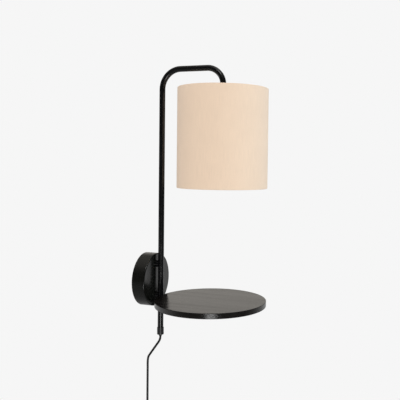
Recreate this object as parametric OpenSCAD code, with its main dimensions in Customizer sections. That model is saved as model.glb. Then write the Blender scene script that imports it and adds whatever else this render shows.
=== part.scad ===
// Wall lamp with a round shelf: a bent tube carries a fabric drum shade above and a shelf below.
// The wall is the plane y = 0, the lamp stands out towards -Y, and +Z is up.
// The origin is the middle of the wall bracket's back face. All sizes are millimetres.

/* [Wall bracket] */
// Width of the steel strap that is screwed to the wall
bracket_w = 18; // [12:1:26]
// Thickness of the strap and its two bent ears
bracket_t = 2; // [1.5:0.5:3]
// Inside radius of the two bends
bracket_bend_r = 1.5; // [1:0.5:4]
// How far the ears stand out from the wall
ear_reach = 21; // [17:1:23]
// Distance between the middles of the two wall screw slots
slot_spacing = 56; // [40:1:64]
// Width of a wall screw slot
slot_w = 5; // [4:0.5:6.5]
// Length of a wall screw slot, end to end
slot_l = 12; // [8:1:16]

/* [Canopy] */
// Outside diameter of the round canopy
canopy_d = 110; // [100:1:130]
// Depth of the canopy, from the wall to its front face
canopy_depth = 28; // [26:1:40]
// Wall thickness of the canopy
canopy_wall = 2; // [1.2:0.1:3]
// Rounding of the canopy's front rim
canopy_edge_r = 2.4; // [1:0.2:4]
// Thread size of the two screws that hold the canopy on the ears
canopy_screw_d = 4; // [3:0.5:5]
// Length of the two canopy screws
canopy_screw_l = 8; // [7:0.5:10]
// Distance of the canopy screws from the wall
canopy_screw_y = 15; // [10:0.5:16]

/* [Stem] */
// Outside diameter of the bent tube
stem_d = 12; // [10:0.5:16]
// Wall thickness of the tube
stem_wall = 1.5; // [1:0.1:2]
// Radius of the tube's bend above the wall, at its centre line
wall_bend_r = 41; // [24:1:50]
// Radius of the tube's bend above the shade, at its centre line
shade_bend_r = 35; // [24:1:50]
// Height of the tube's level run above the canopy's middle, at its centre line
stem_top = 437; // [400:1:500]
// Depth of the tube's lower end below the canopy's middle
stem_drop = 112; // [90:1:150]
// Distance between the long leg and the short leg of the hook
reach = 136; // [110:1:160]
// Length of the straight end of the short leg, below the bend
leg_l = 20; // [14:1:40]

/* [Canopy fixing] */
// Clear gap between the canopy's face and the tube
standoff = 3; // [2:0.5:10]
// Diameter of the two saddle spacers in that gap
spacer_d = 14; // [12:0.5:18]
// How far the saddles reach round the back of the tube
saddle_wrap = 2.5; // [1:0.25:4]
// Distance between the two studs
stud_spacing = 66; // [50:1:74]
// Thread size of the studs
stud_d = 5; // [4:0.5:6]
// Thread left over behind the nuts
stud_spare = 2; // [1:0.5:4]
// Width across the flats of the stud nuts
nut_af = 8; // [7:0.5:10]
// Height of the stud nuts
nut_h = 4; // [3:0.5:5]
// Diameter of the washers under the nuts
washer_d = 12; // [10:0.5:15]
// Thickness of the washers
washer_t = 1; // [0.8:0.1:1.6]

/* [Shelf] */
// Diameter of the round shelf
shelf_d = 226; // [180:1:260]
// Thickness of the shelf
shelf_t = 11; // [9:0.5:20]
// Depth of the shelf's top below the canopy's middle
shelf_drop = 33; // [20:1:60]
// How far the shelf's wall-side edge stands in front of the tube's centre line
shelf_setback = 0.5; // [0:0.5:3]
// Rounding of the shelf's edges
shelf_edge_r = 0.8; // [0.4:0.2:3]
// Width of the flat steel bar under the shelf
bar_w = 26; // [18:1:40]
// Thickness of the bar
bar_t = 3; // [2:0.5:5]
// Length of the bar, from the tube's centre line to its round end
bar_l = 128; // [100:1:150]
// Diameter of the wood screws
wood_screw_d = 3.5; // [3:0.5:4.5]
// How deep the wood screws go into the shelf
wood_screw_bite = 8; // [6:0.5:8.5]
// Distance between the wood screws
wood_screw_pitch = 40; // [28:1:46]

/* [Cord outlet] */
// Outside diameter of the end cap on the tube
cap_d = 14; // [13.5:0.5:18]
// Height of the end cap
cap_h = 15; // [10:1:20]
// Thickness of the end cap's floor
cap_floor = 2; // [1.5:0.5:3]
// Thickness of the strain relief's flange
relief_flange_t = 1.5; // [1:0.25:2.5]
// Length of the strain relief inside the tube
relief_barrel_l = 14; // [8:1:24]
// Length of the tapered tip below the end cap
relief_tip_l = 4; // [4:0.5:12]
// Diameter of the tapered tip where it leaves the cap
relief_neck_d = 6.8; // [6:0.2:8]
// Diameter of the tapered tip at its end
relief_tip_d = 5.6; // [5.2:0.2:6]

/* [Lampholder] */
// Outside diameter of the lampholder's cap
holder_d = 40; // [38:1:46]
// Height of the lampholder's cap
holder_cap_h = 30; // [26:1:36]
// Wall thickness of the lampholder
holder_wall = 2; // [1.5:0.5:2.5]
// Height of the lampholder's body below its cap
holder_body_h = 42; // [38:1:50]
// Diameter of the shoulder that the shade hangs from
shoulder_d = 46; // [45:1:50]
// Thickness of that shoulder
shoulder_t = 4; // [3:0.5:5]
// Bore of the lampholder for the bulb's screw cap
socket_d = 28; // [27.2:0.2:30]
// Thickness of the porcelain insert
insert_t = 9; // [7:0.5:9.5]
// Thread size of the hollow nipple between tube and lampholder
nipple_d = 10; // [9:0.5:10.5]
// Length of the nipple
nipple_l = 20; // [16:1:22]
// Bore of the nipple
nipple_bore = 7; // [6:0.5:7.5]
// Outside diameter of the ring nut under the shade
ring_nut_d = 54; // [50:1:58]
// Height of the ring nut
ring_nut_h = 9; // [6:0.5:12]

/* [Shade] */
// Outside diameter of the drum shade
shade_d = 182; // [160:1:220]
// Height of the shade
shade_h = 200; // [150:1:260]
// Gap between the shade's top and the start of the tube's bend
shade_gap = 7; // [4:1:30]
// Thickness of the fabric
fabric_t = 0.8; // [0.6:0.1:1.2]
// Thickness of the stiff liner behind the fabric
liner_t = 0.8; // [0.5:0.1:1.5]
// Wire diameter of the top and bottom rings
ring_wire_d = 3.5; // [2.5:0.5:5]
// Wire diameter of the three arms
arm_wire_d = 3; // [2:0.5:4]
// Diameter of the pressed plate in the middle of the arms
hub_d = 62; // [60:1:70]
// Thickness of that plate
hub_t = 1.6; // [1:0.2:2]
// Number of arms
arms = 3; // [3:1:4]

/* [Bulb] */
// Diameter of the bulb's globe
bulb_d = 60; // [45:1:70]
// Length of the bulb, from its contact to the globe's end
bulb_l = 108; // [90:1:115]
// Largest diameter of the bulb's housing
housing_d = 37; // [32:1:44]
// Height of the bulb's housing
housing_h = 26; // [20:1:34]
// Diameter of the bulb's screw cap
bulb_cap_d = 26.4; // [26:0.1:27]
// Height of the bulb's screw cap
bulb_cap_h = 24; // [20:1:27]

/* [Cord] */
// Diameter of the mains cord
cord_d = 4.6; // [4:0.1:5]
// Diameter of each core inside it
core_d = 1.8; // [1.4:0.1:2]

/* [Inline switch] */
// Length of the switch
switch_l = 54; // [50:1:70]
// Width of the switch
switch_w = 26; // [25:1:32]
// Depth of the switch
switch_t = 20; // [20:0.5:24]
// Rounding of the switch's ends, seen from the front
switch_corner_r = 9; // [4:0.5:12]
// Length of the rocker
rocker_l = 19.4; // [16:0.2:22]
// Width of the rocker
rocker_w = 11.4; // [9:0.2:13]
// How far the rocker tilts to each side
rocker_tilt = 8; // [4:1:9]
// Diameter of the rocker's pivot pins
pivot_d = 2.4; // [2:0.1:3]
// Thread size of the two switch screws
switch_screw_d = 3; // [2.5:0.5:3]

/* [Plug] */
// Width of the flat two-pin plug
plug_w = 35.3; // [34:0.1:36]
// Thickness of the plug
plug_t = 13.7; // [12:0.1:14]
// Length of the plug's body
plug_l = 35; // [30:1:42]
// Distance between the plug's pins
pin_spacing = 18.6; // [17.5:0.1:19]
// Diameter of the plug's pins
pin_d = 4; // [3.8:0.1:4.2]
// Length of the plug's pins
pin_l = 19; // [17:0.5:20]
// Length of the insulating sleeves on the pins
sleeve_l = 10; // [8:0.5:11]
// Diameter of those sleeves
sleeve_d = 3.6; // [3.4:0.1:3.6]
// Length of the tapered strain relief on the plug
plug_tail_l = 20; // [16:1:30]

/* [Hidden] */
$fn = 64;

// Clearances between pieces that fit together
thread_fit = 0.05;   // a screw in its thread, all round
slip_fit = 0.1;      // a piece pushed over or into another, all round
loose_fit = 0.3;     // a screw through a plain hole, or a part in its opening
cut = 1;             // how far a cutting shape runs past what it cuts

// Stem
stem_y = -(canopy_depth + standoff + stem_d / 2);
stem_bore = stem_d - 2 * stem_wall;
long_leg_top = stem_top - wall_bend_r;
short_leg_top = stem_top - shade_bend_r;
leg_end = short_leg_top - leg_l;
run_start = stem_y - wall_bend_r;
run_l = reach - wall_bend_r - shade_bend_r;
run_end = run_start - run_l;
shade_y = run_end - shade_bend_r;
stud_end = canopy_depth - canopy_wall - washer_t - nut_h - stud_spare;
flex_strip = 6;          // how far below the nipple the cord's sheath ends
flex_end = leg_end - nipple_l / 2 - flex_strip;
core_offset = 0.6 * core_d;

// Wall bracket: its ears reach the inside of the canopy
canopy_inner_r = canopy_d / 2 - canopy_wall;
ear_z = sqrt(pow(canopy_inner_r - loose_fit, 2) - pow(bracket_w / 2, 2));
hex_key_af = 2;
hex_key_depth = 2.5;
screw_sink = 0.2;        // how far the canopy screws' ends lie inside the rim
least_edge_r = 0.2;      // the sharpest edge that the pressed canopy has

// Shelf and its bar
shelf_r = shelf_d / 2;
shelf_y = stem_y - shelf_setback - shelf_r;
shelf_under = -shelf_drop - shelf_t;
wood_screw_head_d = 2 * wood_screw_d;
wood_screw_crown_d = 0.7 * wood_screw_head_d;
wood_screw_head_h = 0.7 * wood_screw_d;
wood_screw_tip_d = 0.6;
wood_screw_tip_l = wood_screw_d / 2;
wood_screw_shank_l = bar_t + wood_screw_bite - wood_screw_tip_l;
pilot_spare = 0.5;       // how much deeper than the screw its hole is
wood_screw_first = bar_l - bar_w / 2 - 2 * wood_screw_pitch;
wood_screws = [for (i = [0:2]) stem_y - wood_screw_first - i * wood_screw_pitch];

// Cord outlet
cap_bottom = -stem_drop - relief_flange_t - cap_floor;
cap_edge_r = 1;
cap_rim_r = 0.4;
exit_z = cap_bottom - relief_tip_l;

// Lampholder, from the leg's end down
cap_neck_h = 9;
cap_neck_d = 18;
body_top = leg_end - holder_cap_h;
shoulder_under = body_top - shoulder_t;
body_end = body_top - holder_body_h;
thread_step = 0.5;       // how much narrower than the cap the threaded body is
thread_d = holder_d - thread_step;
socket_top = body_top - insert_t - 2 * slip_fit;
insert_d = holder_d - 3 * holder_wall;
insert_hole_d = 3;
insert_floor = 2;
contact_t = 0.8;
contact_w = 8;
contact_gap = 3.5;
nut_flange_t = 2.5;      // the ring nut's flange, and its grip ribs
nut_flange_w = 3;
nut_neck_d = ring_nut_d - 2 * nut_flange_w;
nut_ribs = 24;
nut_rib = 2;

// Shade
shade_top = short_leg_top - shade_gap;
shade_bottom = shade_top - shade_h;
liner_r = shade_d / 2 - fabric_t;
wire_ring_r = liner_r - liner_t - slip_fit - ring_wire_d / 2;
lip_r = wire_ring_r - ring_wire_d / 4;
hub_top = shoulder_under;
arm_root_r = hub_d / 2 - arm_wire_d / 2;
arm_root_z = hub_top - hub_t + arm_wire_d / 2;
arm_tip_z = shade_top - fabric_t - ring_wire_d / 2;

// Bulb, hung from the contact in the lampholder
bulb_tip = socket_top - contact_gap;
bulb_cap_end = bulb_tip - bulb_cap_h;
bulb_end = bulb_tip - bulb_l;
globe_z = bulb_end + bulb_d / 2;
housing_lip = 0.3;       // how far the housing's neck stands proud of the screw cap, all round
housing_neck_d = bulb_cap_d + 2 * housing_lip;
housing_neck_least = 3;  // the neck is at least this high, and shows this far below the lampholder
housing_neck_h = max(bulb_cap_end - body_end, 0) + housing_neck_least;
globe_step = 0.3;        // how far the globe's shoulder starts inside its widest ring
globe_shoulder_d = bulb_d - 2 * globe_step;
globe_wall = 1.5;
bulb_cap_wall = 0.5;
bulb_cap_crown = 5;
bulb_crown_d = 11;
bulb_contact_d = 9;
bulb_contact_h = 1.5;

// Cord: from the strain relief towards the wall, down through the switch and into the coil.
// The route is a list of [y, z] points, all at x = 0.
cord_wall_y = -7.5;      // the cord's middle where it hangs along the wall
coil_r = 6 * cord_d;     // middle of the coil's turns
coil_across = 4;         // turns side by side
coil_layers = 2;         // turns in front of each other
coil_x = coil_r + (coil_across - 1) * cord_d / 2;
coil_y = cord_wall_y - (coil_layers - 1) * cord_d / 2;
coil_z = -366;
coil_pad = 0.1;
CORD_ROUTE = [
    [-37, -119.5], [-37, -120.5], [-36, -126], [-33, -132], [-28, -139], [-23, -146],
    [-18, -153], [-13, -160], [-9.5, -165.5], [-8, -171.5], [-7.5, -178], [-7.5, -190],
    [-7.5, -202], [-7.5, -214], [-7.5, -226], [-7.5, -238], [-7.5, -250], [-7.5, -262],
    [-7.5, -274], [-7.5, -286], [-7.5, -298], [-7.5, -310], [-7.5, -322], [-7.5, -333],
    [-7.5, -344], [-7.5, -353]
];
PLUG_LEAD = [[-12.1, -379], [-12.1, -390], [-12.1, -401], [-12.1, -411]];
cord_sides = 10;
tie_angle = 20;
tie_t = 1.2;

// Inline switch, with the cord in its parting plane
switch_z = -299;
switch_back = -0.5;
switch_front = switch_back - switch_t;
pivot_depth = 5.3;       // of the rocker's pivot, behind the cover's front
pivot_y = switch_front + pivot_depth;
rocker_r = rocker_l / 2;
rocker_below = 2.6;
rocker_crown = 6.4;
rocker_waist = 3.6;
rocker_dish_r = 22;
well_floor_t = 0.8;
well_floor = cord_wall_y - cord_d / 2 - well_floor_t;
pivot_l = 1.4;
switch_edge_r = 2.5;     // rounding of the cover's front edges
switch_base_r = 1;       // rounding of the base's edges at the wall
switch_screw_x = 8.5;
switch_screw_z = 19;
switch_screw_head_d = 5.6;
switch_screw_head_h = 2;
switch_screw_l = 10;
switch_screw_spare = 1;  // thread hole left free beyond the screw's end
spring_t = 0.4;          // the contact springs under the rocker
spring_l = 4;

// Plug, hanging from the coil
plug_y = -12.1;
plug_top = -416;
plug_end = plug_top - plug_l;
plug_waist_w = 22;
plug_shoulder_l = 14;
plug_corner_r = 3;       // rounding of the nose's corners
plug_side_r = 4;         // rounding of the long edges
plug_tail_d = 12;        // the tapered tail at the plug's body
plug_tail_wall = 0.7;    // its wall round the cord at its tip
plug_tail_root = 2;      // how far it starts inside the body
plug_cord_stop = 4;      // where the cord's end lies above the body's shoulders
pin_core_d = sleeve_d - 0.9;
pin_nose_d = 2.4;
pin_nose_l = 1.2;
pin_root_l = 8;
pin_root_spare = 0.5;

// ---- Helpers ----

// Half outline of a round plate, from z = 0 up, with rounded outer edges
module plate_outline(r, h, low_r, high_r) {
    square([r - max(low_r, high_r), h]);
    translate([0, low_r]) square([r, h - low_r - high_r]);
    if (low_r > 0) {
        square([r - low_r, low_r + cut / 100]);
        translate([r - low_r, low_r]) circle(low_r);
    }
    if (high_r > 0) translate([r - high_r, h - high_r]) circle(high_r);
}

// A rod of diameter d along the stem's centre line, from z = low to z = leg_low.
// Each straight length starts in the plane where a bend ends.
module stem_rod(d, low, leg_low) {
    translate([0, stem_y, long_leg_top]) mirror([0, 0, 1]) cylinder(d = d, h = long_leg_top - low);
    stem_bend(run_start, wall_bend_r, 90, d);
    translate([0, run_start, stem_top]) rotate([90, 0, 0]) cylinder(d = d, h = run_l);
    stem_bend(run_end, shade_bend_r, 180, d);
    translate([0, shade_y, short_leg_top]) mirror([0, 0, 1])
        cylinder(d = d, h = short_leg_top - leg_low);
}

// One quarter bend of that rod, of radius r about a level axis at y
module stem_bend(y, r, start, d) {
    translate([0, y, stem_top - r]) rotate([0, 90, 0]) rotate([0, 0, start])
        rotate_extrude(angle = 90) translate([r, 0]) circle(d = d);
}

// A flat rectangle with round corners, about its middle
module round_box(w, l, r) {
    square([w - 2 * r, l], center = true);
    square([w, l - 2 * r], center = true);
    for (x = [-1, 1], y = [-1, 1]) translate([x * (w / 2 - r), y * (l / 2 - r)]) circle(r);
}

// A slab w across, l long and t high, with its four upper edges rounded by r
module soft_slab(w, l, t, r) intersection() {
    translate([0, l / 2, 0]) rotate([90, 0, 0]) linear_extrude(l) soft_section(w, t, r);
    translate([-w / 2, 0, 0]) rotate([90, 0, 90]) linear_extrude(w) soft_section(l, t, r);
}

// Its section: a rectangle with two round upper corners
module soft_section(w, t, r) {
    translate([-w / 2, 0]) square([w, t - r]);
    translate([r - w / 2, 0]) square([w - 2 * r, t]);
    for (side = [-1, 1]) translate([side * (w / 2 - r), t - r]) circle(r);
}

// Lays a shape that is built along +Z out from the wall, towards -Y
module from_wall(y = 0, z = 0) {
    translate([0, y, z]) rotate([90, 0, 0]) children();
}

// Places a shape at each of the two studs
module at_studs() {
    for (side = [-1, 1]) translate([0, 0, side * stud_spacing / 2]) children();
}

// A ring of the cord's outline round point p, square to direction t, in the plane x = 0
function cord_ring(p, t, r, n) =
    let (level = [1, 0, 0], across = cross(t, level))
    [for (i = [0:n - 1]) p + r * (cos(360 * i / n) * level + sin(360 * i / n) * across)];

// The unit direction of a route at its point i
function heading(route, i) =
    let (a = route[max(i - 1, 0)], b = route[min(i + 1, len(route) - 1)]) (b - a) / norm(b - a);

// A round tube swept along [y, z] points
module cord_tube(route, r, n) {
    path = [for (p = route) [0, p[0], p[1]]];
    last = len(path) - 1;
    rings = [for (i = [0:last]) cord_ring(path[i], heading(path, i), r, n)];
    points = [for (ring = rings) each ring];
    sides = [for (i = [0:last - 1], j = [0:n - 1])
        let (a = i * n + j, b = i * n + (j + 1) % n)
        each [[a, a + n, b], [b, a + n, b + n]]];
    near = [for (j = [0:n - 1]) j];
    far = [for (j = [n - 1:-1:0]) last * n + j];
    polyhedron(points = points, faces = concat([near], sides, [far]), convexity = 6);
}

// ---- Wall bracket and canopy ----

module wall_bracket() color("#8f9194") {
    outer_r = bracket_bend_r + bracket_t;
    difference() {
        translate([-bracket_w / 2, 0, 0]) rotate([90, 0, 90]) linear_extrude(bracket_w) {
            translate([-bracket_t, -ear_z + outer_r])
                square([bracket_t, 2 * (ear_z - outer_r)]);
            for (side = [0, 1]) mirror([0, side]) bracket_corner(outer_r);
        }
        for (side = [-1, 1]) translate([0, 0, side * slot_spacing / 2]) wall_slot();
        for (side = [-1, 1]) from_wall(-canopy_screw_y) rotate([side * 90, 0, 0])
            cylinder(d = canopy_screw_d + 2 * thread_fit, h = ear_z + cut);
    }
}

// The bend and the ear at the upper end of the strap's profile, drawn in the [y, z] plane
module bracket_corner(outer_r) {
    translate([-outer_r, ear_z - outer_r]) difference() {
        intersection() {
            circle(outer_r);
            square(outer_r);
        }
        circle(bracket_bend_r);
    }
    translate([-ear_reach, ear_z - bracket_t]) square([ear_reach - outer_r, bracket_t]);
}

// A slot through the strap that runs up and down
module wall_slot() {
    run = slot_l - slot_w;
    from_wall(cut) {
        for (side = [-1, 1]) translate([0, side * run / 2, 0])
            cylinder(d = slot_w, h = bracket_t + 2 * cut);
        translate([-slot_w / 2, -run / 2, 0]) cube([slot_w, run, bracket_t + 2 * cut]);
    }
}

module canopy() color("#26272a") {
    inner_edge_r = max(canopy_edge_r - canopy_wall, least_edge_r);
    difference() {
        from_wall() rotate_extrude()
            plate_outline(canopy_d / 2, canopy_depth, 0, canopy_edge_r);
        from_wall(cut) rotate_extrude()
            plate_outline(canopy_inner_r, canopy_depth - canopy_wall + cut, 0, inner_edge_r);
        at_studs() from_wall()
            cylinder(d = stud_d + 2 * loose_fit, h = canopy_depth + cut);
        for (side = [-1, 1]) from_wall(-canopy_screw_y) rotate([side * 90, 0, 0])
            cylinder(d = canopy_screw_d + 2 * slip_fit, h = canopy_d);
    }
}

module canopy_screws() color("#1b1b1c") {
    outer_end = canopy_d / 2 - screw_sink;
    for (side = [-1, 1]) from_wall(-canopy_screw_y) rotate([-side * 90, 0, 0])
        translate([0, 0, outer_end - canopy_screw_l]) difference() {
            cylinder(d = canopy_screw_d, h = canopy_screw_l);
            translate([0, 0, canopy_screw_l - hex_key_depth])
                cylinder(d = hex_key_af / cos(30), h = hex_key_depth + cut, $fn = 6);
        }
}

// ---- Studs that carry the stem on the canopy ----

module mounting_studs() color("#77797c") difference() {
    at_studs() from_wall(-stud_end)
        cylinder(d = stud_d, h = -stem_y - stud_end);
    stem_envelope();
}

// The outside of the stem's long leg, to cut seats against it
module stem_envelope() {
    translate([0, stem_y, -stem_drop]) cylinder(d = stem_d, h = stem_drop + long_leg_top);
}

module stud_spacers() color("#1f2022") difference() {
    at_studs() from_wall(-canopy_depth) difference() {
        cylinder(d = spacer_d, h = standoff + saddle_wrap);
        translate([0, 0, -cut]) cylinder(d = stud_d + 2 * slip_fit, h = standoff + stem_d);
    }
    stem_envelope();
}

module stud_washers() color("#9a9c9f") at_studs()
    from_wall(-(canopy_depth - canopy_wall - washer_t)) difference() {
        cylinder(d = washer_d, h = washer_t);
        translate([0, 0, -cut]) cylinder(d = stud_d + 2 * slip_fit, h = washer_t + 2 * cut);
    }

module stud_nuts() color("#8c8e91") at_studs()
    from_wall(-(canopy_depth - canopy_wall - washer_t - nut_h)) difference() {
        cylinder(d = nut_af / cos(30), h = nut_h, $fn = 6);
        translate([0, 0, -cut]) cylinder(d = stud_d + 2 * thread_fit, h = nut_h + 2 * cut);
    }

// ---- Stem ----

module stem() color("#202124") difference() {
    stem_rod(stem_d, -stem_drop, leg_end);
    stem_rod(stem_bore, -stem_drop - cut, leg_end - cut);
    translate([0, shade_y, leg_end - cut])
        cylinder(d = nipple_d + 2 * thread_fit, h = nipple_l / 2 + cut);
}

// ---- Shelf ----

module shelf_bracket() color("#1f2022") difference() {
    translate([0, 0, shelf_under - bar_t]) linear_extrude(bar_t) {
        translate([-bar_w / 2, stem_y - bar_l + bar_w / 2]) square([bar_w, bar_l - bar_w / 2]);
        translate([0, stem_y - bar_l + bar_w / 2]) circle(d = bar_w);
    }
    stem_envelope();
    for (y = wood_screws) translate([0, y, shelf_under - bar_t - cut])
        cylinder(d = wood_screw_d + 2 * loose_fit, h = bar_t + 2 * cut);
}

module shelf() color("#2b2a29") difference() {
    translate([0, shelf_y, shelf_under]) rotate_extrude($fn = 128)
        plate_outline(shelf_r, shelf_t, shelf_edge_r, shelf_edge_r);
    translate([0, stem_y, shelf_under - cut])
        cylinder(d = stem_d + 2 * slip_fit, h = shelf_t + 2 * cut);
    for (y = wood_screws) translate([0, y, shelf_under - cut])
        cylinder(d = wood_screw_d + 2 * thread_fit, h = wood_screw_bite + cut + pilot_spare);
}

module shelf_screws() color("#b0a070") for (y = wood_screws)
    translate([0, y, shelf_under - bar_t]) {
        cylinder(d = wood_screw_d, h = wood_screw_shank_l);
        translate([0, 0, wood_screw_shank_l])
            cylinder(d1 = wood_screw_d, d2 = wood_screw_tip_d, h = wood_screw_tip_l);
        translate([0, 0, -wood_screw_head_h])
            cylinder(d1 = wood_screw_crown_d, d2 = wood_screw_head_d, h = wood_screw_head_h);
    }

// ---- Cord outlet at the stem's lower end ----

module end_cap() color("#191a1b") translate([0, stem_y, cap_bottom]) difference() {
    rotate_extrude() plate_outline(cap_d / 2, cap_h, cap_edge_r, cap_rim_r);
    translate([0, 0, cap_floor]) cylinder(d = stem_d + 2 * slip_fit, h = cap_h);
    translate([0, 0, -cut]) cylinder(d = relief_neck_d + 2 * slip_fit, h = cap_floor + 2 * cut);
}

module strain_relief() color("#141414") translate([0, stem_y, exit_z]) difference() {
    union() {
        cylinder(d1 = relief_tip_d, d2 = relief_neck_d, h = relief_tip_l);
        translate([0, 0, relief_tip_l]) cylinder(d = relief_neck_d, h = cap_floor);
        translate([0, 0, relief_tip_l + cap_floor])
            cylinder(d = stem_d - 2 * slip_fit, h = relief_flange_t);
        translate([0, 0, relief_tip_l + cap_floor + relief_flange_t])
            cylinder(d = stem_bore - 2 * slip_fit, h = relief_barrel_l);
    }
    translate([0, 0, -cut])
        cylinder(d = cord_d + 2 * thread_fit, h = relief_tip_l + cap_floor + relief_barrel_l + 4 * cut);
}

// The cord's run inside the stem, and its two cores in the lampholder
module inner_flex() color("#161616") {
    stem_rod(cord_d, exit_z, flex_end);
    for (side = [-1, 1]) translate([side * core_offset, shade_y, body_top])
        cylinder(d = core_d, h = flex_end - body_top);
}

// ---- Lampholder ----

module stem_nipple() color("#b9a26a") translate([0, shade_y, leg_end - nipple_l / 2]) difference() {
    cylinder(d = nipple_d, h = nipple_l - thread_fit);
    translate([0, 0, -cut]) cylinder(d = nipple_bore, h = nipple_l + 2 * cut);
}

// Half outline of the lampholder's cap, from its open end up, smaller all round by inset
module dome_outline(inset) {
    dome_r = (holder_d - cap_neck_d) / 2 - inset;
    dome_z = holder_cap_h - cap_neck_h - (holder_d - cap_neck_d) / 2;
    square([cap_neck_d / 2, dome_z + dome_r]);
    square([holder_d / 2 - inset, dome_z]);
    translate([cap_neck_d / 2, dome_z]) intersection() {
        circle(dome_r);
        square(dome_r);
    }
}

module holder_cap() color("#1d1e20") translate([0, shade_y, body_top]) difference() {
    rotate_extrude() union() {
        dome_outline(0);
        square([cap_neck_d / 2, holder_cap_h]);
    }
    translate([0, 0, -cut / 100]) rotate_extrude() dome_outline(holder_wall);
    cylinder(d = nipple_d + 2 * thread_fit, h = holder_cap_h + cut);
}

module holder_body() color("#1d1e20") translate([0, shade_y, body_end]) difference() {
    union() {
        cylinder(d = thread_d, h = holder_body_h);
        translate([0, 0, holder_body_h - shoulder_t]) cylinder(d = shoulder_d, h = shoulder_t);
    }
    translate([0, 0, -cut]) cylinder(d = socket_d, h = holder_body_h + 2 * cut);
    translate([0, 0, socket_top - body_end])
        cylinder(d = insert_d + 2 * slip_fit, h = insert_t + cut);
}

module holder_insert() color("#e8e4da") translate([0, shade_y, socket_top + slip_fit]) difference() {
    cylinder(d = insert_d, h = insert_t);
    translate([0, 0, -cut]) cylinder(d = insert_hole_d, h = insert_t - insert_floor + cut);
}

module holder_contacts() color("#c9a24c") {
    translate([-contact_w / 2, shade_y - contact_w / 4, bulb_tip])
        cube([contact_w, contact_w / 2, contact_t]);
    for (side = [-1, 1])
        translate([side * (contact_w / 2 - contact_t / 2) - contact_t / 2, shade_y - contact_w / 4, bulb_tip])
            cube([contact_t, contact_w / 2, socket_top + slip_fit - bulb_tip]);
}

module ring_nut() color("#1d1e20") translate([0, shade_y, hub_top - hub_t - ring_nut_h]) difference() {
    union() {
        cylinder(d = nut_neck_d, h = ring_nut_h);
        translate([0, 0, ring_nut_h - nut_flange_t]) cylinder(d = ring_nut_d, h = nut_flange_t);
        for (i = [0:nut_ribs - 1]) rotate([0, 0, i * 360 / nut_ribs])
            translate([nut_neck_d / 2 - nut_rib / 2, -nut_rib / 2, 0])
                cube([nut_rib, nut_rib, ring_nut_h - nut_flange_t / 2]);
    }
    translate([0, 0, -cut]) cylinder(d = thread_d + 2 * thread_fit, h = ring_nut_h + 2 * cut);
}

// ---- Shade ----

// A wire ring of the shade at height z
module wire_ring(z) {
    translate([0, shade_y, z]) rotate_extrude($fn = 96) translate([wire_ring_r, 0])
        circle(d = ring_wire_d);
}

module shade_spider() color("#d9d6cf") {
    run = wire_ring_r - arm_root_r;
    rise = arm_tip_z - arm_root_z;
    difference() {
        union() {
            wire_ring(arm_tip_z);
            translate([0, shade_y, hub_top - hub_t]) cylinder(d = hub_d, h = hub_t);
            for (i = [0:arms - 1]) translate([0, shade_y, 0]) rotate([0, 0, 90 + i * 360 / arms])
                translate([arm_root_r, 0, arm_root_z]) rotate([0, atan2(run, rise), 0])
                    cylinder(d = arm_wire_d, h = norm([run, rise]));
        }
        translate([0, shade_y, hub_top - hub_t - cut])
            cylinder(d = thread_d + 2 * loose_fit, h = hub_t + 2 * cut);
    }
}

module shade_bottom_ring() color("#d9d6cf") wire_ring(shade_bottom + fabric_t + ring_wire_d / 2);

module shade_liner() color("#efe9df") translate([0, shade_y, shade_bottom + fabric_t])
    rotate_extrude($fn = 128) translate([liner_r - liner_t, 0])
        square([liner_t, shade_h - 2 * fabric_t]);

module shade_fabric() color("#e6cdb2") translate([0, shade_y, shade_bottom])
    rotate_extrude($fn = 128) {
        translate([liner_r, fabric_t]) square([fabric_t, shade_h - 2 * fabric_t]);
        folded_edge();
        translate([0, shade_h]) mirror([0, 1]) folded_edge();
    }

// The cloth where it is folded round the liner's lower edge and glued under the wire ring
module folded_edge() {
    translate([lip_r, 0]) square([liner_r - lip_r, fabric_t]);
    translate([liner_r, fabric_t]) intersection() {
        circle(fabric_t);
        translate([0, -fabric_t]) square(fabric_t);
    }
}

// ---- Bulb ----

module bulb_cap() color("#c8c8c8") translate([0, shade_y, bulb_cap_end]) difference() {
    union() {
        cylinder(d = bulb_cap_d, h = bulb_cap_h - bulb_cap_crown);
        translate([0, 0, bulb_cap_h - bulb_cap_crown])
            cylinder(d1 = bulb_cap_d, d2 = bulb_crown_d, h = bulb_cap_crown - bulb_contact_h);
        translate([0, 0, bulb_cap_h - bulb_contact_h]) cylinder(d = bulb_contact_d, h = bulb_contact_h);
    }
    translate([0, 0, -cut])
        cylinder(d = bulb_cap_d - 2 * bulb_cap_wall, h = bulb_cap_h - bulb_cap_crown + cut);
}

module bulb_housing() color("#f2f1ee") translate([0, shade_y, bulb_cap_end - housing_h]) {
    cylinder(d1 = housing_d, d2 = housing_neck_d, h = housing_h - housing_neck_h);
    translate([0, 0, housing_h - housing_neck_h])
        cylinder(d = housing_neck_d, h = housing_neck_h);
}

// The globe's outline of revolution: a ball with a shoulder up to the housing
module globe_solid(inset) {
    translate([0, shade_y, globe_z]) {
        sphere(d = bulb_d - 2 * inset, $fn = 96);
        cylinder(d1 = globe_shoulder_d - 2 * inset, d2 = housing_d - 2 * inset,
            h = bulb_cap_end - housing_h - globe_z);
    }
}

module bulb_globe() color("#f7f5f0") difference() {
    globe_solid(0);
    globe_solid(globe_wall);
    translate([0, shade_y, bulb_cap_end - housing_h]) cylinder(d = bulb_d, h = bulb_d);
}

// ---- Free cord, switch, coil and plug ----

module cord() color("#141414") cord_tube(CORD_ROUTE, cord_d / 2, cord_sides);

// One half of the switch's housing, from the parting plane to the wall (side = -1) or to the
// front (side = 1): t deep, with its outer edges rounded by r
module switch_shell(side, t, r) {
    translate([0, cord_wall_y, switch_z]) rotate([side * 90, 0, 0]) intersection() {
        linear_extrude(t) round_box(switch_w, switch_l, switch_corner_r);
        soft_slab(switch_w, switch_l, t, r);
    }
}

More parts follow.
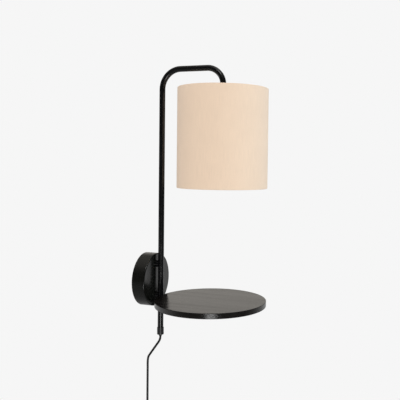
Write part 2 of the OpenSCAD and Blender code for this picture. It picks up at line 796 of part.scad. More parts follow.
// The channel that holds the cord through the whole switch
module cord_channel() {
    translate([0, cord_wall_y, switch_z - switch_l])
        cylinder(d = cord_d + 2 * thread_fit, h = 2 * switch_l);
}

// Places a shape at the two switch screws, built out from the wall
module at_switch_screws(y) {
    for (side = [-1, 1])
        translate([side * switch_screw_x, y, switch_z + side * switch_screw_z])
            rotate([90, 0, 0]) children();
}

module switch_base() color("#151516") difference() {
    switch_shell(-1, switch_back - cord_wall_y, switch_base_r);
    cord_channel();
    at_switch_screws(switch_back + cut)
        cylinder(d = switch_screw_d + 2 * slip_fit, h = switch_t);
    at_switch_screws(switch_back + cut)
        cylinder(d = switch_screw_head_d + 2 * slip_fit, h = switch_screw_head_h + cut);
}

module switch_cover() color("#151516") difference() {
    switch_shell(1, cord_wall_y - switch_front, switch_edge_r);
    cord_channel();
    translate([-rocker_w / 2 - loose_fit, switch_front - cut, switch_z - rocker_r - loose_fit])
        cube([rocker_w + 2 * loose_fit, well_floor - switch_front + cut, rocker_l + 2 * loose_fit]);
    translate([0, pivot_y, switch_z]) rotate([0, 90, 0])
        cylinder(d = pivot_d + 2 * thread_fit, h = rocker_w + 2 * pivot_l + 4 * loose_fit, center = true);
    at_switch_screws(switch_back)
        cylinder(d = switch_screw_d + 2 * thread_fit, h = switch_screw_l + switch_screw_head_h);
}

module switch_contacts() color("#c9a24c") for (side = [-1, 1])
    translate([-rocker_w / 4, well_floor - spring_t, switch_z + side * rocker_l / 3 - spring_l / 2])
        cube([rocker_w / 2, spring_t, spring_l]);

module switch_rocker() color("#1c1c1d")
    translate([0, pivot_y, switch_z]) rotate([-rocker_tilt, 0, 0]) {
        rotate([90, 0, 90]) translate([0, 0, -rocker_w / 2]) linear_extrude(rocker_w) difference() {
            intersection() {
                circle(rocker_r);
                translate([-rocker_crown, -rocker_r]) square([rocker_crown + rocker_below, rocker_l]);
            }
            translate([-rocker_waist - rocker_dish_r, 0]) circle(rocker_dish_r);
        }
        rotate([0, 90, 0]) cylinder(d = pivot_d, h = rocker_w + 2 * pivot_l, center = true);
    }

module switch_screws() color("#9a9c9f") at_switch_screws(switch_back) {
    translate([0, 0, slip_fit]) cylinder(d = switch_screw_head_d, h = switch_screw_head_h - slip_fit);
    translate([0, 0, switch_screw_head_h])
        cylinder(d = switch_screw_d, h = switch_screw_l - switch_screw_spare);
}

// The turns' bundle over an angle of the coil, larger all round by grow
module coil_ring(grow, angle) {
    w = coil_across * cord_d / 2 + grow;
    t = coil_layers * cord_d / 2 + grow;
    translate([coil_x, coil_y, coil_z]) rotate([90, 0, 0]) rotate([0, 0, -angle / 2])
        rotate_extrude(angle = angle, $fn = 96) translate([coil_r - w, -t]) square([2 * w, 2 * t]);
}

module cord_coil() color("#141414") coil_ring(0, 360);

module coil_tie() color("#101010") difference() {
    coil_ring(coil_pad + tie_t, tie_angle);
    coil_ring(coil_pad, 2 * tie_angle);
}

module plug_lead() color("#141414") cord_tube(PLUG_LEAD, cord_d / 2, cord_sides);

module plug_body() color("#151516") difference() {
    union() {
        intersection() {
            translate([0, plug_y + plug_t / 2, 0]) rotate([90, 0, 0]) linear_extrude(plug_t)
                plug_outline(plug_w, plug_waist_w);
            translate([-plug_w / 2, plug_y, 0]) rotate([90, 0, 90]) linear_extrude(plug_w)
                plug_outline(plug_t, plug_tail_d);
            translate([0, plug_y, plug_end]) linear_extrude(plug_l)
                round_box(plug_w, plug_t, plug_side_r);
        }
        translate([0, plug_y, plug_top - plug_tail_root])
            cylinder(d1 = plug_tail_d, d2 = cord_d + 2 * plug_tail_wall, h = plug_tail_l + plug_tail_root);
    }
    translate([0, plug_y, plug_top + plug_cord_stop])
        cylinder(d = cord_d + 2 * thread_fit, h = plug_tail_l);
    for (side = [-1, 1]) translate([side * pin_spacing / 2, plug_y, plug_end - cut])
        cylinder(d = pin_core_d + 2 * thread_fit, h = pin_root_l + cut);
}

// The plug's outline from the front or from the side: a nose w wide, and shoulders that draw in
// to the waist at the cord
module plug_outline(w, waist) {
    nose = w / 2 - plug_corner_r;
    polygon([[-nose, plug_end], [nose, plug_end], [w / 2, plug_end + plug_corner_r],
        [w / 2, plug_top - plug_shoulder_l], [waist / 2, plug_top],
        [-waist / 2, plug_top], [-w / 2, plug_top - plug_shoulder_l],
        [-w / 2, plug_end + plug_corner_r]]);
    for (side = [-1, 1]) translate([side * nose, plug_end + plug_corner_r]) circle(plug_corner_r);
}

module plug_pins() color("#c3c4c6") for (side = [-1, 1])
    translate([side * pin_spacing / 2, plug_y, plug_end - pin_l]) {
        cylinder(d1 = pin_nose_d, d2 = pin_d, h = pin_nose_l);
        translate([0, 0, pin_nose_l]) cylinder(d = pin_d, h = pin_l - sleeve_l - pin_nose_l);
        translate([0, 0, pin_l - sleeve_l])
            cylinder(d = pin_core_d, h = sleeve_l + pin_root_l - pin_root_spare);
    }

module pin_sleeves() color("#151516") for (side = [-1, 1])
    translate([side * pin_spacing / 2, plug_y, plug_end - sleeve_l + thread_fit]) difference() {
        cylinder(d = sleeve_d, h = sleeve_l - thread_fit);
        translate([0, 0, -cut]) cylinder(d = pin_core_d + 2 * thread_fit, h = sleeve_l + 2 * cut);
    }

wall_bracket();
canopy();
canopy_screws();
mounting_studs();
stud_spacers();
stud_washers();
stud_nuts();
stem();
shelf_bracket();
shelf();
shelf_screws();
end_cap();
strain_relief();
inner_flex();
stem_nipple();
holder_cap();
holder_body();
holder_insert();
holder_contacts();
ring_nut();
shade_spider();
shade_bottom_ring();
shade_liner();
shade_fabric();
bulb_cap();
bulb_housing();
bulb_globe();
cord();
switch_base();
switch_cover();
switch_contacts();
switch_rocker();
switch_screws();
cord_coil();
coil_tie();
plug_lead();
plug_body();
plug_pins();
pin_sleeves();
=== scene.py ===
"""Wall lamp with a round shelf: its finishes, shade cloth, cord, plug, threads and stage, around the frame.

Everything is in metres. The wall is the plane y = 0, the lamp stands out towards -Y, and +Z is up.
"""

import math

import bmesh
import bpy
from bpy.props import FloatProperty, FloatVectorProperty, IntProperty, PointerProperty
from mathutils import Matrix, Vector


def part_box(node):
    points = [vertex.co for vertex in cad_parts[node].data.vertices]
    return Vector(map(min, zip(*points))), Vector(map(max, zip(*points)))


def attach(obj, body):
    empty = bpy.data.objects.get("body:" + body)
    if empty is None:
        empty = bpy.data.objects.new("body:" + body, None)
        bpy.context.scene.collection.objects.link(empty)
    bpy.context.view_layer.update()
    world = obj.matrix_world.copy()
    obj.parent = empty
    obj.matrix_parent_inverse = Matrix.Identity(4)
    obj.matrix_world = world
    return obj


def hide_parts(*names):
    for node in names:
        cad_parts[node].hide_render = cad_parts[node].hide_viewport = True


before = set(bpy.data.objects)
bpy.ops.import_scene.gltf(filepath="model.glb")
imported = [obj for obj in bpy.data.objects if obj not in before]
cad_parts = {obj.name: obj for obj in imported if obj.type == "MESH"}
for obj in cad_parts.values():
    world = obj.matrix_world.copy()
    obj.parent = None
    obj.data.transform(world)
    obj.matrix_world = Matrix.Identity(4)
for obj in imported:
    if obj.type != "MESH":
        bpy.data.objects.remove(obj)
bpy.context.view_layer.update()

bl_info = {
    "name": "Wall Lamp with Shelf",
    "version": (1, 0, 0),
    "blender": (4, 5, 0),
    "location": "3D View > Sidebar > Wall Lamp",
    "description": "Dresses a wall lamp with a drum shade and a round shelf",
    "category": "Object",
}

# ---- Places that come from the frame ----

LAMP_BODY = "fixture"
SHADE_LOW, SHADE_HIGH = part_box("shade_fabric")
LINER_LOW, LINER_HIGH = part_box("shade_liner")
WIRE_LOW, WIRE_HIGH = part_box("shade_bottom_ring")
PLUG_LOW, PLUG_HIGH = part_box("plug_body")
SHADE_AXIS = (SHADE_LOW + SHADE_HIGH) / 2
PLUG_AXIS = (PLUG_LOW + PLUG_HIGH) / 2
CLOTH_MAP = "cloth_map"

# ---- Sizes that the frame's boxes don't give ----

UPWARDS = (0, 0, 1)
OFF_THE_WALL = (0, -1, 0)
SLIP = 0.0001
LINER_WALL = 0.0008
SOCKET_DIAMETER = 0.028
SHOULDER_THICKNESS = 0.004
HOLDER_THREAD_RADIUS = 0.01975
NIPPLE_BORE = 0.0035

# Each thread's pitch and depth
BULB_THREAD = (0.00363, 0.0009)
HOLDER_THREAD = (0.0025, 0.0008)
NIPPLE_THREAD = (0.001, 0.0005)
STUD_THREAD = (0.0008, 0.00045)
WOOD_THREAD = (0.0013, 0.00055)
SHELL_THREAD = (0.0011, 0.00045)
ROWS_PER_TURN = 10
CROWN_RINGS = 9

# ---- Colours of the small pieces ----

PIN_NICKEL = (0.66, 0.65, 0.62)
WIRE_CREAM = (0.72, 0.69, 0.62)
BULB_SHELL = (0.78, 0.78, 0.79)
BULB_OPAL = (0.86, 0.85, 0.81)
BULB_HOUSING = (0.80, 0.80, 0.78)

# ---- The cord's route, as [y, z] points at x = 0 ----

CORD_ROUTE = [
    (-0.037, -0.1195), (-0.037, -0.1205), (-0.036, -0.126), (-0.033, -0.132), (-0.028, -0.139),
    (-0.023, -0.146), (-0.018, -0.153), (-0.013, -0.16), (-0.0095, -0.1655), (-0.008, -0.1715),
    (-0.0075, -0.178), (-0.0075, -0.19), (-0.0075, -0.202), (-0.0075, -0.214), (-0.0075, -0.226),
    (-0.0075, -0.238), (-0.0075, -0.25), (-0.0075, -0.262), (-0.0075, -0.274), (-0.0075, -0.286),
    (-0.0075, -0.298), (-0.0075, -0.31), (-0.0075, -0.322), (-0.0075, -0.333), (-0.0075, -0.344),
    (-0.0075, -0.353),
]
PLUG_LEAD = [(-0.0121, -0.379), (-0.0121, -0.39), (-0.0121, -0.401), (-0.0121, -0.411)]
COIL_HEIGHT = -0.366

# The coil, in degrees from where the cord comes in. A step to the next radius takes STEP_TURN
COIL_TURNS = 7
COIL_ENTRY = 180
RADIUS_STEPS = 3
STEP_TURN = 120
INWARDS_FROM = 220
FRONT_FROM = 1200
FRONT_TURN = 100
OUTWARDS_FROM = 1440
TIE_THICKNESS = 0.0011
TIE_SLACK = 0.0002
TIE_HALF_TURN = 10
TIE_RINGS = 9


class LampSizes(bpy.types.PropertyGroup):
    """Sizes of the soft and fine pieces"""

    cloth_thickness: FloatProperty(
        name="Cloth thickness", description="Thickness of the shade's cloth",
        default=0.0005, min=0.0002, max=0.002, unit="LENGTH")
    hem_depth: FloatProperty(
        name="Hem depth", description="How far the cloth is turned in behind the wire rings",
        default=0.007, min=0.003, max=0.02, unit="LENGTH")
    seam_overlap: FloatProperty(
        name="Seam overlap", description="Width of the glued overlap on the wall side",
        default=0.011, min=0.005, max=0.03, unit="LENGTH")
    seam_angle: FloatProperty(
        name="Seam angle", description="Place of the overlap round the shade, from +X",
        default=math.radians(72), subtype="ANGLE")
    thread_pitch: FloatProperty(
        name="Thread pitch", description="Distance between the cloth's threads",
        default=0.00055, min=0.0002, max=0.002, unit="LENGTH")
    cord_diameter: FloatProperty(
        name="Cord diameter", description="Outside diameter of the mains cord",
        default=0.0046, min=0.003, max=0.008, unit="LENGTH")
    cord_length: FloatProperty(
        name="Cord length", description="Length of the cord from the lamp to the plug",
        default=1.5, min=0.5, max=3.0, unit="LENGTH")
    coil_radius: FloatProperty(
        name="Coil radius", description="Radius of the stored coil at the middle of its turns",
        default=0.0276, min=0.02, max=0.06, unit="LENGTH")
    coil_steps: IntProperty(
        name="Coil points", description="Points along each turn of the coil",
        default=24, min=12, max=48)
    plug_ribs: IntProperty(
        name="Plug ribs", description="Ribs on the plug's tapered tail",
        default=6, min=3, max=9)


class LampColours(bpy.types.PropertyGroup):
    """Plain colours of the lamp's finishes"""

    shade: FloatVectorProperty(
        name="Shade", description="Beige shade cloth", subtype="COLOR",
        size=3, default=(0.80, 0.616, 0.461), min=0, max=1)
    liner: FloatVectorProperty(
        name="Liner", description="Film that the cloth is laminated on", subtype="COLOR",
        size=3, default=(0.84, 0.78, 0.69), min=0, max=1)
    tube: FloatVectorProperty(
        name="Tube", description="Powder coat of the tube and its collars", subtype="COLOR",
        size=3, default=(0.0035, 0.0035, 0.0039), min=0, max=1)
    canopy: FloatVectorProperty(
        name="Canopy", description="Lacquer of the canopy", subtype="COLOR",
        size=3, default=(0.0045, 0.0048, 0.0038), min=0, max=1)
    shelf: FloatVectorProperty(
        name="Shelf", description="Black stain of the shelf", subtype="COLOR",
        size=3, default=(0.0055, 0.0046, 0.0038), min=0, max=1)
    cord: FloatVectorProperty(
        name="Cord", description="Sheath of the cord", subtype="COLOR",
        size=3, default=(0.010, 0.010, 0.010), min=0, max=1)
    moulding: FloatVectorProperty(
        name="Moulding", description="Black moulded plastic", subtype="COLOR",
        size=3, default=(0.014, 0.014, 0.015), min=0, max=1)
    steel: FloatVectorProperty(
        name="Steel", description="Zinc plated steel", subtype="COLOR",
        size=3, default=(0.56, 0.57, 0.58), min=0, max=1)
    brass: FloatVectorProperty(
        name="Brass", description="Plain brass", subtype="COLOR",
        size=3, default=(0.72, 0.53, 0.27), min=0, max=1)
    porcelain: FloatVectorProperty(
        name="Porcelain", description="Unglazed porcelain", subtype="COLOR",
        size=3, default=(0.80, 0.78, 0.73), min=0, max=1)
    backdrop: FloatProperty(
        name="Backdrop", description="Level of the pale backdrop",
        default=0.9216, min=0, max=1)


# ---- Shader nodes ----


def put(tree, kind, inputs=None, **settings):
    """A shader node of that kind; an input is a value or another node's output"""
    made = tree.nodes.new("ShaderNode" + kind)
    for name, value in settings.items():
        setattr(made, name, value)
    for name, value in (inputs or {}).items():
        if isinstance(value, bpy.types.NodeSocket):
            tree.links.new(value, made.inputs[name])
        else:
            made.inputs[name].default_value = value
    return made


def maths(tree, operation, first, second=0.0):
    """The output of a Math node"""
    return put(tree, "Math", {0: first, 1: second}, operation=operation).outputs[0]


def ramp(tree, value, low, high, to_low=0.0, to_high=1.0):
    """value from low..high, brought smoothly to to_low..to_high"""
    inputs = {"Value": value, "From Min": low, "From Max": high, "To Min": to_low, "To Max": to_high}
    return put(tree, "MapRange", inputs, interpolation_type="SMOOTHSTEP").outputs[0]


def noise(tree, where, scale, detail=2.0, roughness=0.5):
    """Noise with features 1/scale metres across"""
    inputs = {"Vector": where, "Scale": scale, "Detail": detail, "Roughness": roughness}
    return put(tree, "TexNoise", inputs).outputs["Fac"]


def stretched(tree, scale):
    """Places in metres, multiplied along each axis"""
    places = put(tree, "TexCoord").outputs["Object"]
    return put(tree, "Mapping", {"Vector": places, "Scale": scale}).outputs["Vector"]


def relief(tree, height, depth, strength, under=None):
    """A bump of that depth in metres, on top of another one"""
    inputs = {"Height": height, "Distance": depth, "Strength": strength}
    if under is not None:
        inputs["Normal"] = under
    return put(tree, "Bump", inputs).outputs["Normal"]


def scaled(tree, colour, level):
    """colour times level"""
    made = put(tree, "VectorMath", operation="SCALE")
    made.inputs[0].default_value = colour
    tree.links.new(level, made.inputs["Scale"])
    return made.outputs[0]


def new_finish(name, colour, roughness, **shader_values):
    """A material with one Principled shader; gives material, tree, shader"""
    material = bpy.data.materials.new(name)
    material.use_nodes = True
    tree = material.node_tree
    shader = tree.nodes["Principled BSDF"]
    shader.inputs["Base Color"].default_value = (*colour, 1.0)
    shader.inputs["Roughness"].default_value = roughness
    for socket, value in shader_values.items():
        shader.inputs[socket.replace("_", " ")].default_value = value
    return material, tree, shader


def connect(tree, shader, **outputs):
    """Links outputs to the shader's sockets"""
    for socket, output in outputs.items():
        tree.links.new(output, shader.inputs[socket.replace("_", " ")])


# ---- Finishes ----


def powder_coat(name, colour, roughness=0.24):
    """Satin powder coat: fine orange peel, with a little dust that dulls it"""
    material, tree, shader = new_finish(name, colour, roughness, IOR=1.5)
    places = stretched(tree, (1, 1, 1))
    peel = noise(tree, places, 1100, 2)
    dust = noise(tree, places, 60, 4)
    connect(tree, shader,
            Base_Color=scaled(tree, colour, ramp(tree, dust, 0.3, 0.7, 0.85, 1.2)),
            Roughness=ramp(tree, dust, 0.3, 0.75, roughness - 0.03, roughness + 0.05),
            Normal=relief(tree, peel, 0.00006, 0.2))
    return material


def canopy_lacquer(colour):
    """Satin lacquer on spun metal: fine upright strokes and a soft peel"""
    material, tree, shader = new_finish("canopy_lacquer", colour, 0.22, IOR=1.5)
    strokes = noise(tree, stretched(tree, (1, 1, 0.03)), 700, 3)
    bands = noise(tree, stretched(tree, (1, 0.2, 0.08)), 120, 2)
    peel = noise(tree, stretched(tree, (1, 1, 1)), 900, 2)
    normal = relief(tree, peel, 0.00006, 0.2, relief(tree, strokes, 0.00005, 0.25))
    connect(tree, shader,
            Base_Color=scaled(tree, colour, ramp(tree, bands, 0.3, 0.7, 0.8, 1.25)),
            Roughness=ramp(tree, bands, 0.3, 0.7, 0.18, 0.27),
            Normal=normal)
    return material


def stained_wood(colour):
    """Black stained veneer under satin lacquer, with its grain along Y"""
    material, tree, shader = new_finish("stained_wood", colour, 0.22, IOR=1.5)
    warp = noise(tree, stretched(tree, (1, 0.3, 1)), 25, 2)
    places = put(tree, "TexCoord").outputs["Object"]
    bent = put(tree, "VectorMath", {0: places}, operation="ADD")
    shift = put(tree, "CombineXYZ", {"X": maths(tree, "MULTIPLY", warp, 0.006)}).outputs[0]
    tree.links.new(shift, bent.inputs[1])
    grain_places = put(tree, "Mapping", {"Vector": bent.outputs[0], "Scale": (1, 0.035, 1)}).outputs[0]
    grain = noise(tree, grain_places, 520, 5, 0.6)
    pores = noise(tree, grain_places, 1500, 2, 0.5)
    figure = noise(tree, grain_places, 70, 3, 0.55)
    open_pores = ramp(tree, pores, 0.36, 0.5)
    normal = relief(tree, open_pores, 0.00004, 0.25, relief(tree, grain, 0.00005, 0.25))
    connect(tree, shader,
            Base_Color=scaled(tree, colour, ramp(tree, figure, 0.3, 0.7, 0.7, 1.4)),
            Roughness=ramp(tree, figure, 0.3, 0.7, 0.17, 0.27),
            Normal=normal)
    return material


def shade_cloth(colour, pitch):
    """Plain woven cotton: threads over and under with painted shade between them, slubs along the weft, a few
    knots, and uneven dye
    """
    material, tree, shader = new_finish(
        "shade_cloth", colour, 0.8, Sheen_Weight=0.15, Sheen_Roughness=0.5, Specular_IOR_Level=0.3)
    places = put(tree, "UVMap", uv_map=CLOTH_MAP).outputs["UV"]
    split = put(tree, "SeparateXYZ", {0: places})
    across, up = split.outputs[0], split.outputs[1]
    wander = noise(tree, places, 180, 2)
    across = maths(tree, "ADD", across, maths(tree, "MULTIPLY", wander, pitch * 0.8))
    up = maths(tree, "ADD", up, maths(tree, "MULTIPLY", wander, pitch * 0.8))
    turn = math.pi / pitch
    warp_wave = maths(tree, "SINE", maths(tree, "MULTIPLY", across, turn))
    weft_wave = maths(tree, "SINE", maths(tree, "MULTIPLY", up, turn))
    over = ramp(tree, maths(tree, "MULTIPLY", warp_wave, weft_wave), -0.4, 0.4)
    warp_body = maths(tree, "ABSOLUTE", warp_wave)
    weft_body = maths(tree, "ABSOLUTE", weft_wave)
    weave = put(tree, "Mix", {0: over, 2: warp_body, 3: weft_body}).outputs[0]
    slub_places = put(tree, "Mapping", {"Vector": places, "Scale": (40, 1500, 1)}).outputs[0]
    slubs = put(tree, "TexNoise", {"Vector": slub_places, "Scale": 1.0, "Detail": 2.0}).outputs["Fac"]
    slub = ramp(tree, slubs, 0.6, 0.78)
    warp_places = put(tree, "Mapping", {"Vector": places, "Scale": (1500, 30, 1)}).outputs[0]
    ends = put(tree, "TexNoise", {"Vector": warp_places, "Scale": 1.0, "Detail": 2.0}).outputs["Fac"]
    cloud = noise(tree, places, 22, 3)
    dye = ramp(tree, cloud, 0.3, 0.7, 0.99, 1.01)
    # Painted shade: the cloth's colour is darker where the weave is low, between the threads
    level = maths(tree, "MULTIPLY", ramp(tree, weave, 0.0, 1.0, 0.86, 1.04), dye)
    level = maths(tree, "MULTIPLY", level, ramp(tree, ends, 0.3, 0.7, 0.97, 1.03))
    level = maths(tree, "SUBTRACT", level, maths(tree, "MULTIPLY", slub, 0.06))
    knots = ramp(tree, noise(tree, places, 420, 0), 0.79, 0.85)
    level = maths(tree, "ADD", level, maths(tree, "MULTIPLY", knots, 0.12))
    height = maths(tree, "ADD", weave, maths(tree, "MULTIPLY", slub, 0.9))
    height = maths(tree, "ADD", height, maths(tree, "MULTIPLY", knots, 2.0))
    connect(tree, shader,
            Base_Color=scaled(tree, colour, level),
            Normal=relief(tree, height, 0.00018, 0.6))
    return material


def liner_film(colour):
    """Cream film behind the cloth, with the weave faintly pressed into it"""
    material, tree, shader = new_finish("liner_film", colour, 0.5, IOR=1.45)
    places = stretched(tree, (1, 1, 1))
    cloud = noise(tree, places, 30, 3)
    press = noise(tree, places, 1400, 1)
    connect(tree, shader,
            Base_Color=scaled(tree, colour, ramp(tree, cloud, 0.3, 0.7, 0.96, 1.02)),
            Roughness=ramp(tree, cloud, 0.3, 0.7, 0.44, 0.56),
            Normal=relief(tree, press, 0.00008, 0.3))
    return material


def coated_wire(colour):
    """Thick cream paint on wire, with small runs"""
    material, tree, shader = new_finish("coated_wire", colour, 0.35, IOR=1.5)
    places = stretched(tree, (1, 1, 1))
    runs = noise(tree, places, 260, 3)
    connect(tree, shader,
            Base_Color=scaled(tree, colour, ramp(tree, runs, 0.25, 0.75, 0.93, 1.03)),
            Roughness=ramp(tree, runs, 0.3, 0.7, 0.3, 0.42),
            Normal=relief(tree, runs, 0.0002, 0.3))
    return material


def moulded(name, colour, roughness, spark=1300):
    """Moulded plastic or rubber with a fine spark-eroded skin"""
    material, tree, shader = new_finish(name, colour, roughness, IOR=1.5)
    places = stretched(tree, (1, 1, 1))
    skin = noise(tree, places, spark, 2)
    wear = noise(tree, places, 90, 4)
    connect(tree, shader,
            Base_Color=scaled(tree, colour, ramp(tree, wear, 0.3, 0.7, 0.85, 1.25)),
            Roughness=ramp(tree, wear, 0.3, 0.7, roughness - 0.05, roughness + 0.06),
            Normal=relief(tree, skin, 0.0001, 0.3))
    return material


def plated(name, colour, roughness):
    """Bare or plated metal with faint drawing marks and duller spots"""
    material, tree, shader = new_finish(name, colour, roughness, Metallic=1.0)
    lines = noise(tree, stretched(tree, (1, 1, 0.06)), 500, 3)
    spots = noise(tree, stretched(tree, (1, 1, 1)), 140, 4)
    connect(tree, shader,
            Base_Color=scaled(tree, colour, ramp(tree, spots, 0.3, 0.7, 0.85, 1.08)),
            Roughness=ramp(tree, spots, 0.3, 0.7, roughness - 0.05, roughness + 0.1),
            Normal=relief(tree, lines, 0.00005, 0.3))
    return material


def ceramic(colour):
    """Unglazed porcelain with fine pores"""
    material, tree, shader = new_finish("porcelain", colour, 0.55)
    places = stretched(tree, (1, 1, 1))
    pores = noise(tree, places, 1600, 2)
    cloud = noise(tree, places, 120, 3)
    connect(tree, shader,
            Base_Color=scaled(tree, colour, ramp(tree, cloud, 0.3, 0.7, 0.94, 1.02)),
            Normal=relief(tree, pores, 0.00008, 0.3))
    return material


def opal_bulb(name, colour, roughness):
    """Opal diffuser or white housing of the bulb"""
    material, tree, shader = new_finish(name, colour, roughness, IOR=1.5)
    places = stretched(tree, (1, 1, 1))
    milk = noise(tree, places, 50, 3)
    flow = noise(tree, places, 240, 2)
    connect(tree, shader,
            Base_Color=scaled(tree, colour, ramp(tree, milk, 0.3, 0.7, 0.97, 1.01)),
            Roughness=ramp(tree, milk, 0.3, 0.7, roughness - 0.03, roughness + 0.05),
            Normal=relief(tree, flow, 0.00006, 0.2))
    return material


def dress(material, *nodes):
    """Gives CAD nodes that material"""
    for name in nodes:
        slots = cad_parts[name].data.materials
        slots.clear()
        slots.append(material)


# ---- Meshes ----


def new_piece(name, material):
    """An empty mesh piece in the scene"""
    mesh = bpy.data.meshes.new(name)
    piece = bpy.data.objects.new(name, mesh)
    bpy.context.scene.collection.objects.link(piece)
    mesh.materials.append(material)
    return piece


def fill_piece(piece, form):
    """Puts the bmesh into the piece, smooth, with its faces outwards"""
    bmesh.ops.recalc_face_normals(form, faces=form.faces)
    for face in form.faces:
        face.smooth = True
    form.to_mesh(piece.data)
    form.free()
    return piece


def apply_modifiers(piece):
    """Leaves the piece with its final mesh and no modifiers"""
    bpy.context.view_layer.update()
    seen = piece.evaluated_get(bpy.context.evaluated_depsgraph_get())
    mesh = bpy.data.meshes.new_from_object(seen)
    piece.modifiers.clear()
    piece.data = mesh


def skin_rings(form, rings):
    """Faces between rings of points that all have the same count, and over both ends"""
    rows = [[form.verts.new(point) for point in ring] for ring in rings]
    count = len(rows[0])
    for low, high in zip(rows, rows[1:]):
        for i in range(count):
            j = (i + 1) % count
            form.faces.new((low[i], low[j], high[j], high[i]))
    form.faces.new(rows[0][::-1])
    form.faces.new(rows[-1])


def oval_ring(half_width, half_depth, squareness, x, y, z, steps=64):
    """A ring of points on a rounded rectangle, level at height z"""
    ring = []
    for i in range(steps):
        angle = math.tau * i / steps
        cos, sin = math.cos(angle), math.sin(angle)
        ring.append(Vector((
            x + half_width * math.copysign(abs(cos) ** (2 / squareness), cos),
            y + half_depth * math.copysign(abs(sin) ** (2 / squareness), sin),
            z)))
    return ring


def arc_points(centre, radius, start, end, steps):
    """Points on an arc in a flat drawing; the angles are in degrees"""
    angles = [math.radians(start + (end - start) * i / steps) for i in range(steps + 1)]
    return [(centre[0] + radius * math.cos(a), centre[1] + radius * math.sin(a)) for a in angles]


# ---- Turned and threaded pieces ----


def thread_points(start, end, radius, thread, fade=1.0):
    """Outline points (along, radius, depth); the thread runs out over that many turns at both ends"""
    pitch, depth = thread
    count = math.ceil(abs(end - start) / pitch * ROWS_PER_TURN)
    points = []
    for i in range(count + 1):
        run = min(i, count - i) / (ROWS_PER_TURN * fade)
        points.append((start + (end - start) * i / count, radius, depth * min(run, 1.0)))
    return points


def plain(*points):
    """Outline points without a thread"""
    return [(along, radius, 0.0) for along, radius in points]


def flat_crown(radius):
    """The flat on a screw's head, in rings that are close enough for its recess"""
    return plain((0, 0), *[(0, radius * i / CROWN_RINGS) for i in range(1, CROWN_RINGS + 1)])


def cross_recess(x, y):
    """Depth of a pressed cross recess at (x, y) on a screw's head; its arms get shallower outwards"""
    reach, half_width, depth = 0.0019, 0.00062, 0.0012
    end_slope, side_slope, rise = 0.0005, 0.00025, 0.45
    arms = []
    for along, aside in ((x, y), (y, x)):
        before_end = min(max((reach - abs(along)) / end_slope, 0), 1)
        between_sides = min(max((half_width - abs(aside)) / side_slope, 0), 1)
        arms.append(before_end * between_sides * (1 - rise * abs(along) / reach))
    return depth * max(arms)


def add_turned(form, outline, place, axis, pitch, sides, recess):
    """Turns an outline of (along, radius, thread depth) about axis; it is closed if its ends are the same.

    A recess gives the depth at each place of the head's flat, which lies at along = 0."""
    turn = Vector(axis).to_track_quat("Z", "X")
    place = Vector(place)
    closed = outline[0] == outline[-1]
    rows = []
    for along, radius, depth in outline[:-1] if closed else outline:
        row = []
        for i in range(sides if radius > 0 else 1):
            angle = math.tau * i / sides
            wave = (1 - math.cos(math.tau * along / pitch - angle)) / 2
            reach = radius - depth * wave
            x, y = reach * math.cos(angle), reach * math.sin(angle)
            sunk = recess(x, y) if recess and along == 0 else 0.0
            row.append(form.verts.new(place + turn @ Vector((x, y, along + sunk))))
        rows.append(row)
    if closed:
        rows.append(rows[0])
    for low, high in zip(rows, rows[1:]):
        for i in range(sides):
            j = (i + 1) % sides
            corners = [low[i % len(low)], low[j % len(low)], high[j % len(high)], high[i % len(high)]]
            corners = list(dict.fromkeys(corners))
            if len(corners) > 2:
                form.faces.new(corners)


def turned_piece(name, material, node, outline, places, axis, pitch=1.0, sides=48, recess=None):
    """A piece that is turned once at each place and replaces that CAD node"""
    form = bmesh.new()
    for place in places:
        add_turned(form, outline, place, axis, pitch, sides, recess)
    piece = fill_piece(new_piece(name, material), form)
    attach(piece, LAMP_BODY)
    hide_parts(node)
    return piece


def upright(node):
    """The radius and height of a turned node, and the middle of its underside"""
    low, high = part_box(node)
    centre = (low + high) / 2
    return (high.x - low.x) / 2, high.z - low.z, (centre.x, centre.y, low.z)


def bulb_thread(material):
    """The bulb's rolled screw cap, with its crown and contact"""
    radius, height, foot = upright("bulb_cap")
    rim, inside = radius - 0.0004, radius - 0.0015
    outline = plain((0, rim), (0.0012, rim))
    outline += thread_points(0.0016, 0.0186, radius, BULB_THREAD)
    # The crown, the contact, then the inside
    outline += plain(
        (0.0192, radius - 0.0006), (0.0205, radius - 0.0035), (0.0219, 0.0066), (0.0228, 0.0052),
        (0.0230, 0.0046), (height - 0.0003, 0.0043), (height, 0.0038), (height, 0),
        (0.0195, 0), (0.0186, inside), (0, inside), (0, rim))
    return turned_piece("bulb_thread", material, "bulb_cap", outline, [foot], UPWARDS,
                        pitch=BULB_THREAD[0], sides=72)


def holder_thread(material):
    """The lampholder's body with its outside thread, shoulder and socket"""
    shoulder, height, foot = upright("holder_body")
    insert_radius, _, insert_foot = upright("holder_insert")
    thread, socket = HOLDER_THREAD_RADIUS, SOCKET_DIAMETER / 2
    pocket = insert_radius + SLIP
    pocket_low = insert_foot[2] - SLIP - foot[2]
    under = height - SHOULDER_THICKNESS
    edge = 0.0004
    outline = plain((0.0, socket + edge), (0.0, thread - 0.0014), (0.0006, thread - 0.0008))
    outline += thread_points(0.001, under - 0.001, thread, HOLDER_THREAD)
    # The shoulder, then the insert's pocket, then the socket
    outline += plain(
        (under - edge, thread), (under, thread + edge), (under, shoulder - edge), (under + edge, shoulder),
        (height - edge, shoulder), (height, shoulder - edge),
        (height, pocket + 0.0002), (height - 0.0002, pocket), (pocket_low, pocket),
        (pocket_low, socket), (edge, socket), (0.0, socket + edge))
    return turned_piece("holder_thread", material, "holder_body", outline, [foot], UPWARDS,
                        pitch=HOLDER_THREAD[0], sides=96)


